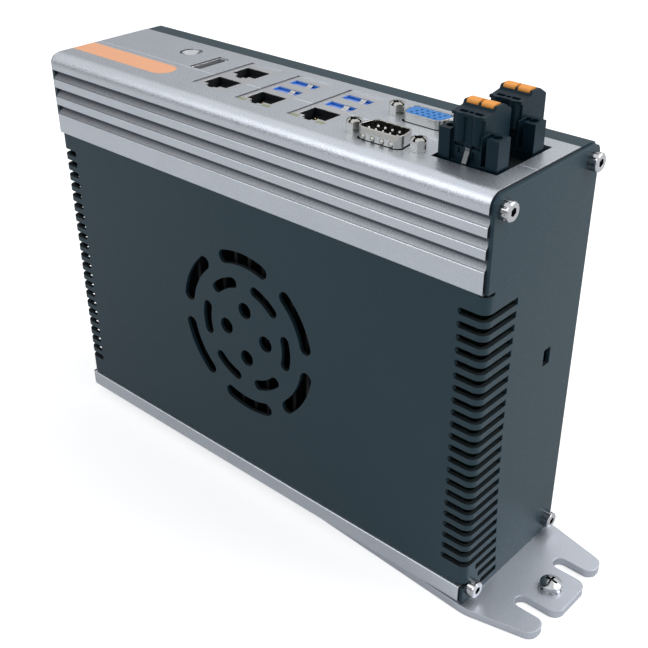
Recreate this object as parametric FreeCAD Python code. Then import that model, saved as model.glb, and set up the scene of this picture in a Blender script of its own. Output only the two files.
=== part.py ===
import FreeCAD, Part
import math
import os

# Fanless box computer standing on a slotted mounting plate.
# X runs along the box, Y from the grille side to the plain side, Z up.
# The origin is on the underside of the plate, below the middle of the box.
V = FreeCAD.Vector

# Housing
BODY_L = 204.0
BODY_W = 56.9
BODY_H = 152.0
PLATE_T = 3.0
SHEET = 1.5
SHEET_BEND = 3.0
SHEET_SETBACK = 0.9
SILVER_SIDE_H = 31.4
STRIP_H = 7.7
WALL = 3.0
EDGE_R = 4.5
SEAM_FROM_NEAR = 23.4
LIP_W = 9.0
JOINT_GAP = 0.2
SEAM_R = 0.2
GROOVES = 3
GROOVE_FIRST = 6.3
GROOVE_PITCH = 6.9
GROOVE_H = 3.9
GROOVE_BACK_H = 1.5
GROOVE_DEPTH = 1.8

# Openings of the black cover
SLOT_LOWEST = 17.0
SLOTS_END_ONLY = 3
SLOT_FIRST = 39.3
SLOT_PITCH = 4.54
SLOT_H = 2.4
SLOT_REACH = 10.1
SLOT_REACH_LEFT = 8.6
SLOT_TAIL = 16.3
SLOT_TAIL_GROWTH = 4.9
GRILLE_RAISE = 2.85
GRILLE_OUTER_R = 30.6
GRILLE_OUTER_W = 5.2
GRILLE_OUTER_SPAN = 36.0
GRILLE_INNER_R = 20.5
GRILLE_INNER_W = 4.2
GRILLE_INNER_SPAN = 28.0
GRILLE_HOLE_R = 3.2
GRILLE_HOLE_PCR = 10.1
LOCK_W = 4.0
LOCK_H = 6.2

# Fasteners
M4_R = 2.0
M3_R = 1.5
CAP_HEAD_R = 3.05
CAP_HEAD_H = 3.1
CAP_FLUTES = 10
CAP_FLUTE_R = 0.35
SCREW_CLEARANCE = 0.15
CHANNEL_WALL = 1.2
CHANNEL_GAP = 0.1
CHANNEL_DROP = 1.2
THREAD_GAP = 0.06

# Mounting plate
EAR_REACH = 27.0
EAR_SLOT_W = 5.6
EAR_SLOT_SPACING = 24.8
EAR_SLOT_LENGTH = 15.0
EAR_TAPER = 5.5
PLATE_NARROW_W = 34.6
EARTH_X_FROM_END = 18.0

# Top panel connectors, measured from the left end and the near side
PANEL_RECESS = 0.4
BUTTON_X = 40.3
BUTTON_Y = 37.0
BUTTON_R = 4.0
BUTTON_CLEAR = 0.3
BUTTON_TRAVEL = 0.8
BUTTON_DISH = 1.4
BUTTON_COLLAR_H = 1.6
BUTTON_STEM_H = 1.8
PLUNGER_R = 1.3
PLUNGER_SUNK = 1.5
HDMI_X = 56.2
HDMI_Y = 32.0
PAIR_X = 75.7
COMBO_X = (99.3, 123.7)
JACK_W = 15.9
JACK_NEAR_Y = 11.0
JACK_DEPTH = 21.0
RJ_W = 11.6
RJ_H = 7.9
RJ_NOTCH_W = 6.0
RJ_NOTCH_H = 1.7
USB_W = 12.3
USB_H = 4.9
USB_SKIN = 0.25
USB_LINER_H = 9.9
LED_W = 3.2
LED_H = 1.5
LED_X = 5.7
LED_Y = 12.4
LED_DEPTH = 2.4
DSUB_X = 155.4
COM_Y = 13.2
VGA_Y = 34.2
DSUB_SPACING = 24.99
COM_RISE = 4.1
VGA_RISE = 3.0
DIMPLE_R = 0.9
HEX_FLAT = 4.8
HEX_H = 4.2
CROWN_W = 0.8
CROWN_H = 1.1
PIN_R = 0.5
PIN_H = 3.9

# Terminal plugs
PLUG_X = 184.1
PLUG_W = 11.1
FLANGED_W = 20.6
FLANGE_SHIFT = 1.0
PLUG_Y = 13.4
PLUG_PITCH = 18.6
PLUG_DEPTH = 14.0
PLUG_TOP = 14.6
FLANGE_TOP = 9.2
FLANGE_DEPTH = 5.8
POLE_PITCH = 5.08
LEVER_W = 4.1
LEVER_DEPTH = 3.6
LEVER_PLACE = 7.9
COLUMN_R = 1.95
COLUMN_PLACE = 2.95
WALL_BACK = 1.4
INSERT_DEPTH = 8.0
OPENING_LEFT_GAP = 1.7
OPENING_RIGHT_GAP = 0.8
OPENING_NEAR_GAP = 1.1
OPENING_FAR_GAP = 3.7

# Boards and cooling
BOARD_BEHIND = 14.0
BOARD_T = 1.6
BOARD_MARGIN = 5.0
SINK_L = 112.0
SINK_MARGIN = 23.3
FINS = 17
FIN_T = 1.6

# Derived positions
Z_LOW = PLATE_T
Z_TOP = PLATE_T + BODY_H
Y_NEAR = -BODY_W / 2
Y_FAR = BODY_W / 2
X_LEFT = -BODY_L / 2
X_RIGHT = BODY_L / 2
X_IN = BODY_L / 2 - SHEET
Z_SIDE = Z_TOP - SILVER_SIDE_H
Z_STRIP = Z_LOW + STRIP_H
Z_COVER_TOP = Z_SIDE - JOINT_GAP
Z_COVER_LOW = Z_STRIP + JOINT_GAP
PANEL_LOW = Z_TOP - WALL
M4_CLEAR_R = M4_R + SCREW_CLEARANCE
M3_CLEAR_R = M3_R + SCREW_CLEARANCE
SCREW_INSET = SHEET + CHANNEL_GAP + CHANNEL_WALL + M3_R
SCREW_TOP_DROP = SCREW_INSET + CHANNEL_DROP
SLOTS = int((BODY_H - SLOT_FIRST - SLOT_LOWEST) / SLOT_PITCH) + 1
GRILLE_Z = (Z_COVER_TOP + Z_COVER_LOW) / 2 + GRILLE_RAISE
SINK_H = Z_COVER_TOP - Z_COVER_LOW - SINK_MARGIN
FLANGE_X = PLUG_X + FLANGE_SHIFT
OPENING_X0 = FLANGE_X - FLANGED_W / 2 - OPENING_LEFT_GAP
OPENING_X1 = FLANGE_X + FLANGED_W / 2 + OPENING_RIGHT_GAP
OPENING_Y0 = PLUG_Y - OPENING_NEAR_GAP
OPENING_Y1 = PLUG_Y + PLUG_PITCH + FLANGE_DEPTH + OPENING_FAR_GAP
BOARD_FRONT = Y_FAR - BOARD_BEHIND
BOARD_BACK = BOARD_FRONT + BOARD_T
Y_BACK_IN = Y_FAR - SHEET


def box(x0, x1, y0, y1, z0, z1):
    return Part.makeBox(x1 - x0, y1 - y0, z1 - z0, V(x0, y0, z0))


def block(x, y, width, depth, z0, z1):
    return box(x - width / 2, x + width / 2, y - depth / 2, y + depth / 2, z0, z1)


def rod_x(radius, x0, x1, y, z):
    return Part.makeCylinder(radius, x1 - x0, V(x0, y, z), V(1, 0, 0))


def rod_y(radius, x, y0, y1, z):
    return Part.makeCylinder(radius, y1 - y0, V(x, y0, z), V(0, 1, 0))


def rod_z(radius, x, y, z0, z1):
    return Part.makeCylinder(radius, z1 - z0, V(x, y, z0), V(0, 0, 1))


def join(shapes):
    result = shapes[0]
    for shape in shapes[1:]:
        result = result.fuse(shape)
    return result.removeSplitter()


def cut_all(shape, tools):
    return shape.cut(tools)


def outline(corners):
    """Closed flat wire through (u, v, radius) corners, rounded where radius is above zero."""
    count = len(corners)
    pieces = []
    starts = []
    ends = []
    for i in range(count):
        here = V(corners[i][0], corners[i][1], 0)
        back = (V(corners[i - 1][0], corners[i - 1][1], 0) - here).normalize()
        ahead = (V(corners[(i + 1) % count][0], corners[(i + 1) % count][1], 0) - here).normalize()
        radius = corners[i][2]
        if radius == 0:
            starts.append(here)
            ends.append(here)
            pieces.append(None)
            continue
        half = back.getAngle(ahead) / 2
        reach = radius / math.tan(half)
        middle = (back + ahead).normalize()
        centre = here + middle * (radius / math.sin(half))
        starts.append(here + back * reach)
        ends.append(here + ahead * reach)
        pieces.append(centre - middle * radius)
    edges = []
    for i in range(count):
        if pieces[i] is not None:
            edges.append(Part.Arc(starts[i], pieces[i], ends[i]).toShape())
        following = starts[(i + 1) % count]
        if ends[i].distanceToPoint(following) > 1e-6:
            edges.append(Part.makeLine(ends[i], following))
    return Part.Wire(edges)


def solid_z(corners, z0, z1):
    solid = Part.Face(outline(corners)).extrude(V(0, 0, z1 - z0))
    solid.translate(V(0, 0, z0))
    return solid


def solid_x(corners, x0, x1):
    """Corners are (y, z, radius)."""
    solid = solid_z(corners, 0, x1 - x0)
    solid.rotate(V(0, 0, 0), V(1, 1, 1), 120)
    solid.translate(V(x0, 0, 0))
    return solid


def solid_y(corners, y0, y1):
    """Corners are (x, z, radius)."""
    solid = solid_z(corners, 0, y1 - y0)
    solid.rotate(V(0, 0, 0), V(1, 0, 0), 90)
    solid.translate(V(0, y1, 0))
    return solid


def turned(corners, x, y):
    """Corners are (distance from the axis, z, radius), spun about a vertical axis at (x, y)."""
    face = Part.Face(outline(corners))
    face.rotate(V(0, 0, 0), V(1, 0, 0), 90)
    solid = face.revolve(V(0, 0, 0), V(0, 0, 1), 360)
    solid.translate(V(x, y, 0))
    return solid


def rectangle(u0, u1, v0, v1, radius):
    return [(u0, v0, radius), (u1, v0, radius), (u1, v1, radius), (u0, v1, radius)]


def hexagon(x, y, flat, z0, z1):
    corner = flat / math.sqrt(3)
    turns = [math.radians(60 * k) for k in range(6)]
    return solid_z([(x + corner * math.cos(a), y + corner * math.sin(a), 0) for a in turns], z0, z1)


def mirrored_x(shape):
    return shape.mirror(V(0, 0, 0), V(1, 0, 0))


def top_x(distance):
    return X_LEFT + distance


def top_y(distance):
    return Y_NEAR + distance


# ---------------------------------------------------------------- screw places
def end_screw_places():
    """The four extruded screw channels, as (y, z)."""
    low = Z_LOW + SCREW_TOP_DROP
    high = Z_TOP - SCREW_TOP_DROP
    near = Y_NEAR + SHEET_SETBACK + SCREW_INSET
    far = Y_FAR - SCREW_INSET
    return [(near, low), (far, low), (near, high), (far, high)]


def channel(y, z):
    return rod_x(M3_R + CHANNEL_WALL, -X_IN, X_IN, y, z)


def channel_bore(y, z):
    return rod_x(M3_R + THREAD_GAP, -X_IN, X_IN, y, z)


# ---------------------------------------------------------------- silver extrusions
def panel_openings():
    """Every cut-out of the top panel as one group of cutting solids."""
    low = PANEL_LOW - 8
    high = Z_TOP + 1
    cuts = [rod_z(BUTTON_R + BUTTON_CLEAR, top_x(BUTTON_X), top_y(BUTTON_Y), low, high)]
    cuts.append(block(top_x(HDMI_X), top_y(HDMI_Y), 5.8, 15.4, low, high))
    cuts.append(box(top_x(PAIR_X) - JACK_W / 2 - 0.1, top_x(PAIR_X) + JACK_W / 2 + 0.1,
                    top_y(JACK_NEAR_Y + 2) - 0.1, BOARD_FRONT, low, high))
    for place in COMBO_X:
        cuts.append(box(top_x(place) - JACK_W / 2 - 0.1, top_x(place) + JACK_W / 2 + 0.1,
                        top_y(JACK_NEAR_Y) - 0.1, BOARD_FRONT, low, high))
    cuts.append(dsub_prism(COM_Y, 0.4, -1, low, high))
    cuts.append(dsub_prism(VGA_Y, 0.4, 1, low, high))
    for place in (COM_Y, VGA_Y):
        for side in (-1, 1):
            x = top_x(DSUB_X) + side * DSUB_SPACING / 2
            cuts.append(rod_z(M3_R + 0.1, x, top_y(place), low, high))
    cuts.append(box(top_x(OPENING_X0), top_x(OPENING_X1), top_y(OPENING_Y0), top_y(OPENING_Y1), low, high))
    middle = top_x(DSUB_X)
    cuts.append(box(middle - 15.8, middle + 15.8, top_y(COM_Y) - 6.4, BOARD_FRONT, PANEL_LOW - 14, PANEL_LOW))
    return cuts


def dsub_prism(place, grow, wide_side, z0, z1):
    """D-shaped prism; wide_side -1 puts the long side near, 1 far."""
    wide = 8.75 + grow
    narrow = 7.35 + grow
    half = 4.18 + grow
    radius = 2.2
    x = top_x(DSUB_X)
    y = top_y(place)
    corners = [(x - wide, y + wide_side * half, radius), (x + wide, y + wide_side * half, radius),
               (x + narrow, y - wide_side * half, radius), (x - narrow, y - wide_side * half, radius)]
    return solid_z(corners, z0, z1)


def near_profile():
    """Cross section of the near extrusion as (y, z, radius); each groove has a sloping floor."""
    inner = Y_NEAR + WALL + 1.2
    seam = Y_NEAR + SEAM_FROM_NEAR - JOINT_GAP / 2
    behind = Y_NEAR + SHEET_SETBACK + SHEET + 0.1
    points = [(seam, Z_TOP, SEAM_R), (Y_NEAR, Z_TOP, EDGE_R)]
    for k in range(GROOVES):
        top = Z_TOP - GROOVE_FIRST - k * GROOVE_PITCH
        deep = Y_NEAR + GROOVE_DEPTH
        points += [(Y_NEAR, top, 0.4), (deep, top, 0.4)]
        points += [(deep, top - GROOVE_BACK_H, 1.5), (Y_NEAR, top - GROOVE_H, 0.4)]
    points += [(Y_NEAR, Z_SIDE, 0.5), (behind, Z_SIDE, 0), (behind, Z_SIDE - WALL * 2, 0)]
    points += [(inner, Z_SIDE - WALL * 2, 0), (inner, PANEL_LOW, 0.8), (seam + WALL, PANEL_LOW, 0)]
    points += [(seam + WALL, PANEL_LOW + WALL / 2, 0), (seam, PANEL_LOW + WALL / 2, 0)]
    return points


def front_extrusion():
    y, z = end_screw_places()[2]
    body = join([solid_x(near_profile(), -X_IN, X_IN), channel(y, z)])
    body = cut_all(body, [channel_bore(y, z)] + panel_openings() + tongue_ends(Z_SIDE - WALL * 2 - 1, Z_SIDE))
    return body.cut(accent_inlay())


def tongue_ends(z0, z1):
    """Clearance at both ends of a tongue for the bends of the cover."""
    inset = X_IN - SHEET_BEND
    right = box(inset, X_IN + 1, Y_NEAR + SHEET_SETBACK, Y_NEAR + SHEET_BEND + 2, z0, z1)
    return [right, mirrored_x(right)]


def io_strip():
    seam = Y_NEAR + SEAM_FROM_NEAR + JOINT_GAP / 2
    step = Y_FAR - LIP_W - JOINT_GAP
    under = Z_TOP - SHEET - 0.2
    back = Y_BACK_IN - 0.1
    deep = Z_TOP - SCREW_TOP_DROP * 2.4
    points = [(seam, Z_TOP, SEAM_R), (seam, PANEL_LOW + WALL / 2 + 0.1, 0)]
    points += [(seam + WALL, PANEL_LOW + WALL / 2 + 0.1, 0), (seam + WALL, PANEL_LOW, 0)]
    points += [(back - WALL / 2, PANEL_LOW, 0), (back - WALL / 2, deep, 0), (back, deep, 0)]
    points += [(back, under, SHEET * 0.9), (step, under, 0), (step, Z_TOP, 0.3)]
    y, z = end_screw_places()[3]
    body = join([solid_x(points, -X_IN, X_IN), channel(y, z)])
    return cut_all(body, [channel_bore(y, z)] + panel_openings())


def bottom_extrusion():
    floor = Z_LOW + WALL
    behind = Y_NEAR + SHEET_SETBACK + SHEET + 0.1
    inner = behind + WALL / 2
    back = Y_BACK_IN - 0.1
    step = Y_FAR - LIP_W - JOINT_GAP
    over = Z_LOW + SHEET + 0.2
    points = [(Y_NEAR, Z_LOW, 2.4), (Y_NEAR, Z_STRIP, 0.4), (behind, Z_STRIP, 0)]
    points += [(behind, Z_STRIP + WALL * 2, 0), (inner, Z_STRIP + WALL * 2, 0), (inner, floor, 0.8)]
    points += [(back - WALL / 2, floor, 0), (back - WALL / 2, Z_LOW + SCREW_TOP_DROP * 2.4, 0)]
    points += [(back, Z_LOW + SCREW_TOP_DROP * 2.4, 0), (back, over, SHEET * 0.9), (step, over, 0)]
    points += [(step, Z_LOW, 0)]
    body = solid_x(points, -X_IN, X_IN)
    places = end_screw_places()[:2]
    rail = box(-X_IN, X_IN, BOARD_FRONT - 1.5, BOARD_BACK + 1.5, floor - 1, floor + WALL)
    groove = box(-X_IN, X_IN, BOARD_FRONT, BOARD_BACK, floor, floor + WALL + 1)
    body = join([body, rail] + [channel(y, z) for y, z in places])
    cuts = [groove] + [channel_bore(y, z) for y, z in places]
    cuts += [rod_z(M4_R + THREAD_GAP, x, y, 0, floor + 1) for x, y in plate_screw_places()]
    cuts += tongue_ends(Z_STRIP, Z_STRIP + WALL * 2 + 1)
    return cut_all(body, cuts)


def accent_inlay():
    """Plain coloured inlay with a round end, flush with the top face."""
    length = 52.5
    near = Y_NEAR + 10.4
    far = Y_NEAR + 20.6
    radius = (far - near) / 2 - 0.05
    thick = 0.3
    left = -X_IN
    corners = [(left, near, 0), (left + length, near, radius), (left + length, far, radius), (left, far, 0)]
    return solid_z(corners, Z_TOP - thick, Z_TOP)


# ---------------------------------------------------------------- black covers
def slot_drop(index):
    return SLOT_FIRST + index * SLOT_PITCH


def slot_tail(index):
    """How far a slot runs along the end face: the ends lie on a shallow arc."""
    middle = BODY_H / 2
    return SLOT_TAIL + SLOT_TAIL_GROWTH * ((slot_drop(index) - middle) / middle) ** 2


def vent_slots(face_reach):
    """Slots wrapping the right near corner, then the ones on the end face alone."""
    cuts = []
    deep = Y_NEAR + SHEET_BEND + 0.2
    for k in range(SLOTS + SLOTS_END_ONLY):
        high = Z_TOP - slot_drop(k) + SLOT_H / 2
        low = high - SLOT_H
        far = Y_NEAR + slot_tail(k)
        near = Y_NEAR + 0.1
        if k >= SLOTS:
            near = Y_NEAR + 7.4 + (k - SLOTS) * 1.9
        else:
            reach = X_RIGHT - face_reach
            face = [(reach, low, 1.1), (X_RIGHT + 1, low, 0), (X_RIGHT + 1, high, 0), (reach, high, 1.1)]
            cuts.append(solid_y(face, Y_NEAR, deep))
        cuts.append(box(X_RIGHT - SHEET_BEND - 0.2, X_RIGHT + 1, near, far, low, high))
    return cuts


def ring_slot(radius, width, middle, span):
    """Curved slot with round ends in the near face."""
    y0 = Y_NEAR
    y1 = Y_NEAR + SHEET_SETBACK + SHEET + 0.3
    z = GRILLE_Z
    ring = rod_y(radius + width / 2, 0, y0, y1, z).cut(rod_y(radius - width / 2, 0, y0, y1, z))
    reach = radius + width
    a0 = math.radians(middle - span / 2)
    a1 = math.radians(middle + span / 2)
    far = reach / math.cos((a1 - a0) / 2)
    wedge = [(0, z, 0), (far * math.cos(a0), z + far * math.sin(a0), 0)]
    wedge += [(far * math.cos(a1), z + far * math.sin(a1), 0)]
    arc = ring.common(solid_y(wedge, y0, y1))
    ends = [rod_y(width / 2, radius * math.cos(a), y0, y1, z + radius * math.sin(a)) for a in (a0, a1)]
    return join([arc] + ends)


def grille():
    cuts = []
    for k in range(6):
        cuts.append(ring_slot(GRILLE_OUTER_R, GRILLE_OUTER_W, 30 + 60 * k, GRILLE_OUTER_SPAN))
        cuts.append(ring_slot(GRILLE_INNER_R, GRILLE_INNER_W, 60 * k, GRILLE_INNER_SPAN))
    for k in range(4):
        x = GRILLE_HOLE_PCR * math.cos(math.radians(90 * k))
        z = GRILLE_Z + GRILLE_HOLE_PCR * math.sin(math.radians(90 * k))
        cuts.append(rod_y(GRILLE_HOLE_R, x, Y_NEAR, Y_NEAR + SHEET_BEND + 0.3, z))
    return cuts


def end_sheet(x0, x1):
    near = Y_NEAR + SHEET_SETBACK
    corners = [(near, Z_LOW + 0.1, 1.5), (near, Z_TOP - 0.8, 3.5)]
    corners += [(Y_FAR - 0.1, Z_TOP - 0.8, 3.0), (Y_FAR - 0.1, Z_LOW + 0.1, 1.5)]
    return solid_x(corners, x0, x1)


def side_cover():
    near = Y_NEAR + SHEET_SETBACK
    inner = near + SHEET
    wrap = near + SHEET_BEND * 2
    u_shape = [(X_LEFT, wrap, 0), (X_LEFT, near, SHEET_BEND), (X_RIGHT, near, SHEET_BEND), (X_RIGHT, wrap, 0)]
    u_shape += [(X_IN, wrap, 0), (X_IN, inner, SHEET_BEND - SHEET), (-X_IN, inner, SHEET_BEND - SHEET)]
    u_shape += [(-X_IN, wrap, 0)]
    face = solid_z(u_shape, Z_COVER_LOW, Z_COVER_TOP)
    corner = box(X_RIGHT - SHEET_BEND, X_RIGHT + 1, near - 1, near + SHEET_BEND, Z_COVER_LOW, Z_COVER_TOP)
    ends = end_sheet(X_IN, X_RIGHT).cut(corner)
    body = join([face, ends, mirrored_x(ends)])
    both = [bend_relief(Z_COVER_TOP), bend_relief(Z_COVER_LOW)]
    both += [rod_x(M3_CLEAR_R, X_IN - 1, X_RIGHT + 1, y, z) for y, z in end_screw_places()]
    left = [mirrored_x(cut) for cut in both + vent_slots(SLOT_REACH_LEFT)]
    cuts = both + vent_slots(SLOT_REACH) + left + grille() + [lock_slot()]
    cuts += [sunk_cone(y, z, THREAD_GAP) for y, z in end_screw_places()]
    return cut_all(body, cuts)


def bend_relief(z):
    """Small round-ended notch where a bend stops."""
    near = Y_NEAR - 1
    deep = Y_NEAR + SHEET_SETBACK + SHEET_BEND + 0.6
    half = 0.6
    corners = [(near, z - half, 0), (deep, z - half, 0.5), (deep, z + half, 0.5), (near, z + half, 0)]
    return solid_x(corners, X_RIGHT - SHEET_BEND - 0.4, X_RIGHT + 1)


def lock_slot():
    y = Y_NEAR + 39.0
    z = Z_TOP - 69.3
    corners = rectangle(y - LOCK_W / 2, y + LOCK_W / 2, z - LOCK_H / 2, z + LOCK_H / 2, 0.6)
    return solid_x(corners, X_IN - 1, X_RIGHT + 1)


def rear_cover():
    lip = Y_FAR - LIP_W
    top = Z_TOP - 0.1
    low = Z_LOW
    outer = SHEET * 2
    inner = SHEET
    points = [(lip, top, 0), (Y_FAR, top, outer), (Y_FAR, low, outer), (lip, low, 0), (lip, low + SHEET, 0)]
    points += [(Y_BACK_IN, low + SHEET, inner), (Y_BACK_IN, top - SHEET, inner), (lip, top - SHEET, 0)]
    body = solid_x(points, -X_IN + 0.1, X_IN - 0.1)
    cuts = []
    for x, z in rear_screw_places():
        cuts.append(rod_y(M3_R + 0.1, x, Y_BACK_IN - 1, Y_FAR + 1, z))
        cuts.append(countersink(x, z, M3_R * 2, SHEET))
    return cut_all(body, cuts)


def rear_screw_places():
    x = BODY_L / 2 - BOARD_MARGIN * 3
    return [(-x, Z_LOW + 22), (x, Z_LOW + 22), (-x, Z_TOP - 26), (x, Z_TOP - 26)]


def countersink(x, z, head_r, depth):
    cone = Part.makeCone(M3_R, head_r, depth, V(x, Y_FAR - depth, z), V(0, 1, 0))
    return cone


def hex_recess(x, z):
    side = hexagon(0, 0, 2.0, 0, 1.0)
    side.rotate(V(0, 0, 0), V(1, 0, 0), 90)
    side.translate(V(x, Y_FAR + 0.01, z))
    return side


def rear_screws():
    screws = []
    for x, z in rear_screw_places():
        head = countersink(x, z, M3_R * 2, SHEET)
        shank = rod_y(M3_R, x, BOARD_BACK + 5, Y_FAR - 0.5, z)
        screws.append(join([head, shank]).cut(hex_recess(x, z)))
    return Part.makeCompound(screws)


def standoffs():
    """Hexagon spacers between the plain cover and the mainboard."""
    parts = []
    for x, z in rear_screw_places():
        post = hexagon(0, 0, 5.5, 0, Y_BACK_IN - BOARD_BACK)
        post.rotate(V(0, 0, 0), V(1, 0, 0), -90)
        post.translate(V(x, BOARD_BACK, z))
        parts.append(post.cut(rod_y(M3_R, x, BOARD_BACK - 1, Y_FAR, z)))
    return Part.makeCompound(parts)


def board_screws():
    parts = []
    for x, z in rear_screw_places():
        head = rod_y(M3_R * 1.8, x, BOARD_FRONT - 2, BOARD_FRONT, z)
        shank = rod_y(M3_R, x, BOARD_FRONT - 0.5, BOARD_BACK + 4, z)
        cross = block(x, BOARD_FRONT - 2, 3.0, 1.6, z - 0.3, z + 0.3)
        other = block(x, BOARD_FRONT - 2, 0.6, 1.6, z - 1.5, z + 1.5)
        parts.append(join([head, shank]).cut([cross, other]))
    return Part.makeCompound(parts)


# ---------------------------------------------------------------- end screws
def cap_screw(y, z):
    """Socket cap screw on the right end, axis along X, with fluted sides and a plain rim."""
    rim = 0.35
    end = X_RIGHT + CAP_HEAD_H
    head = rod_x(CAP_HEAD_R, X_RIGHT, end - rim, y, z)
    bevel = Part.makeCone(CAP_HEAD_R, CAP_HEAD_R - rim, rim, V(end - rim, y, z), V(1, 0, 0))
    shank = rod_x(M3_R, X_RIGHT - 12, X_RIGHT + 0.5, y, z)
    socket = hexagon(0, 0, 2.5, 0, 2.4)
    socket.rotate(V(0, 0, 0), V(0, 1, 0), 90)
    socket.translate(V(end - 1.7, y, z))
    flutes = []
    for k in range(CAP_FLUTES):
        turn = math.radians(360 * k / CAP_FLUTES)
        flutes.append(rod_x(CAP_FLUTE_R, X_RIGHT - 0.1, end - 0.9, y + CAP_HEAD_R * math.cos(turn),
                            z + CAP_HEAD_R * math.sin(turn)))
    return join([head, bevel, shank]).cut([socket] + flutes)


def sunk_cone(y, z, grow):
    """Cone of a countersunk head, flush with the left end sheet."""
    return Part.makeCone(M3_R * 2 + grow, M3_R + grow, SHEET, V(X_LEFT, y, z), V(1, 0, 0))


def sunk_screw(y, z):
    """Countersunk screw in the left end, which stays flat."""
    shank = rod_x(M3_R, X_LEFT + 0.5, X_LEFT + 12, y, z)
    socket = hexagon(0, 0, 2.0, 0, 1.2)
    socket.rotate(V(0, 0, 0), V(0, 1, 0), 90)
    socket.translate(V(X_LEFT - 0.1, y, z))
    return join([sunk_cone(y, z, 0), shank]).cut(socket)


def end_screws():
    places = end_screw_places()
    return Part.makeCompound([cap_screw(y, z) for y, z in places] + [sunk_screw(y, z) for y, z in places])


# ---------------------------------------------------------------- mounting plate
def plate_screw_places():
    x = BODY_L / 2 - BODY_L / 8
    y = BODY_W / 5
    return [(-x, -y), (-x, y), (x, -y), (x, y)]


def plate_outline():
    """Widens under the box, then tapers to three round tongues with two open slots between."""
    half = BODY_W / 2
    tip = X_RIGHT + EAR_REACH
    narrow = half - EAR_TAPER
    slot = EAR_SLOT_SPACING / 2
    gap = EAR_SLOT_W / 2
    end = tip - EAR_SLOT_LENGTH
    side = tip - 1.6
    left = X_LEFT + 2
    lower = [(left, -PLATE_NARROW_W / 2, 2.0), (X_RIGHT + 1.5, -half, 18.0), (side, -narrow, 3.9), (side + 0.4, -slot - gap, 3.4)]
    lower += [(end, -slot - gap, gap - 0.05), (end, -slot + gap, gap - 0.05), (tip, -slot + gap, 3.8)]
    upper = [(x, -y, r) for x, y, r in reversed(lower)]
    return lower + upper


def mounting_plate():
    body = solid_z(plate_outline(), 0, PLATE_T)
    cuts = []
    for x, y in plate_screw_places():
        cuts.append(rod_z(M4_CLEAR_R, x, y, -1, PLATE_T + 1))
        cuts.append(Part.makeCone(M4_R * 2.1 + THREAD_GAP, M4_R, 2.2 + THREAD_GAP, V(x, y, 0), V(0, 0, 1)))
    cuts.append(rod_z(M4_R + THREAD_GAP, earth_x(), 0, -1, PLATE_T + 1))
    return cut_all(body, cuts)


def plate_screws():
    screws = []
    for x, y in plate_screw_places():
        head = Part.makeCone(M4_R * 2.1, M4_R, 2.2, V(x, y, 0), V(0, 0, 1))
        shank = rod_z(M4_R, x, y, 1, PLATE_T + WALL)
        socket = hexagon(x, y, 2.5, -0.1, 1.5)
        screws.append(join([head, shank]).cut(socket))
    return Part.makeCompound(screws)


def earth_x():
    return X_RIGHT + EARTH_X_FROM_END


def earth_washer():
    """Toothed washer under the earth screw."""
    thick = 0.9
    outer = M4_R * 2.1
    body = rod_z(outer, earth_x(), 0, PLATE_T, PLATE_T + thick)
    cuts = [rod_z(M4_R + 0.15, earth_x(), 0, PLATE_T - 1, PLATE_T + 2)]
    for k in range(12):
        angle = math.radians(30 * k)
        x = earth_x() + outer * math.cos(angle)
        y = outer * math.sin(angle)
        cuts.append(rod_z(0.45, x, y, PLATE_T - 1, PLATE_T + 2))
    return cut_all(body, cuts)


def earth_screw():
    """Pan head with a cross recess, clamping the toothed washer."""
    base = PLATE_T + 0.9
    height = 2.7
    dome_r = 6.2
    radius = M4_R * 1.9
    cap = rod_z(radius, earth_x(), 0, base, base + height)
    ball = Part.makeSphere(dome_r, V(earth_x(), 0, base + height - dome_r))
    head = cap.common(ball)
    shank = rod_z(M4_R, earth_x(), 0, 0.3, base + 0.5)
    bars = [block(earth_x(), 0, 4.6, 0.9, base + 1.2, base + height + 1)]
    bars.append(block(earth_x(), 0, 0.9, 4.6, base + 1.2, base + height + 1))
    return join([head, shank]).cut(bars)


# ---------------------------------------------------------------- power button
def power_button():
    """Round button with a dished face and a collar that stops it under the panel."""
    x = top_x(BUTTON_X)
    y = top_y(BUTTON_Y)
    face = Z_TOP - 0.2
    low = PANEL_LOW - BUTTON_COLLAR_H
    foot = low - BUTTON_STEM_H
    collar = BUTTON_R + 0.9
    profile = [(0, foot, 0), (1.6, foot, 0), (1.6, low, 0), (collar, low, 0)]
    profile += [(collar, PANEL_LOW - 0.1, 0), (BUTTON_R, PANEL_LOW - 0.1, 0), (BUTTON_R, face, 0.3)]
    profile += [(BUTTON_R - 0.5, face, 0.2), (BUTTON_R - 1.6, face - 0.9, 1.2), (1.2, face - BUTTON_DISH, 0.8)]
    profile += [(0, face - BUTTON_DISH, 0)]
    return turned(profile, x, y)


def switch_top():
    """Top of the switch body, one travel and a clearance below the stem of the button."""
    return PANEL_LOW - BUTTON_COLLAR_H - BUTTON_STEM_H - BUTTON_TRAVEL - 0.2


def power_switch():
    x = top_x(BUTTON_X)
    y = top_y(BUTTON_Y)
    top = switch_top()
    body = box(x - 4, x + 4, y - 4, BOARD_FRONT, top - 7, top)
    return body.cut(rod_z(PLUNGER_R + 0.1, x, y, top - PLUNGER_SUNK - BUTTON_TRAVEL - 0.3, top + 1))


def switch_plunger():
    """Plunger of the switch, sunk in its bore and pushed by the stem of the button."""
    return rod_z(PLUNGER_R, top_x(BUTTON_X), top_y(BUTTON_Y), switch_top() - PLUNGER_SUNK,
                 switch_top() + BUTTON_TRAVEL + 0.2)


# ---------------------------------------------------------------- data sockets
def hdmi_corners(grow):
    x = top_x(HDMI_X)
    y = top_y(HDMI_Y)
    half_w = 7.0 + grow
    half_h = 2.25 + grow
    step = 1.5
    return [(x - half_h, y - half_w, 0.3), (x + half_h - step, y - half_w, 0.3), (x + half_h, y - half_w + step, 0.3),
            (x + half_h, y + half_w - step, 0.3), (x + half_h - step, y + half_w, 0.3), (x - half_h, y + half_w, 0.3)]


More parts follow.
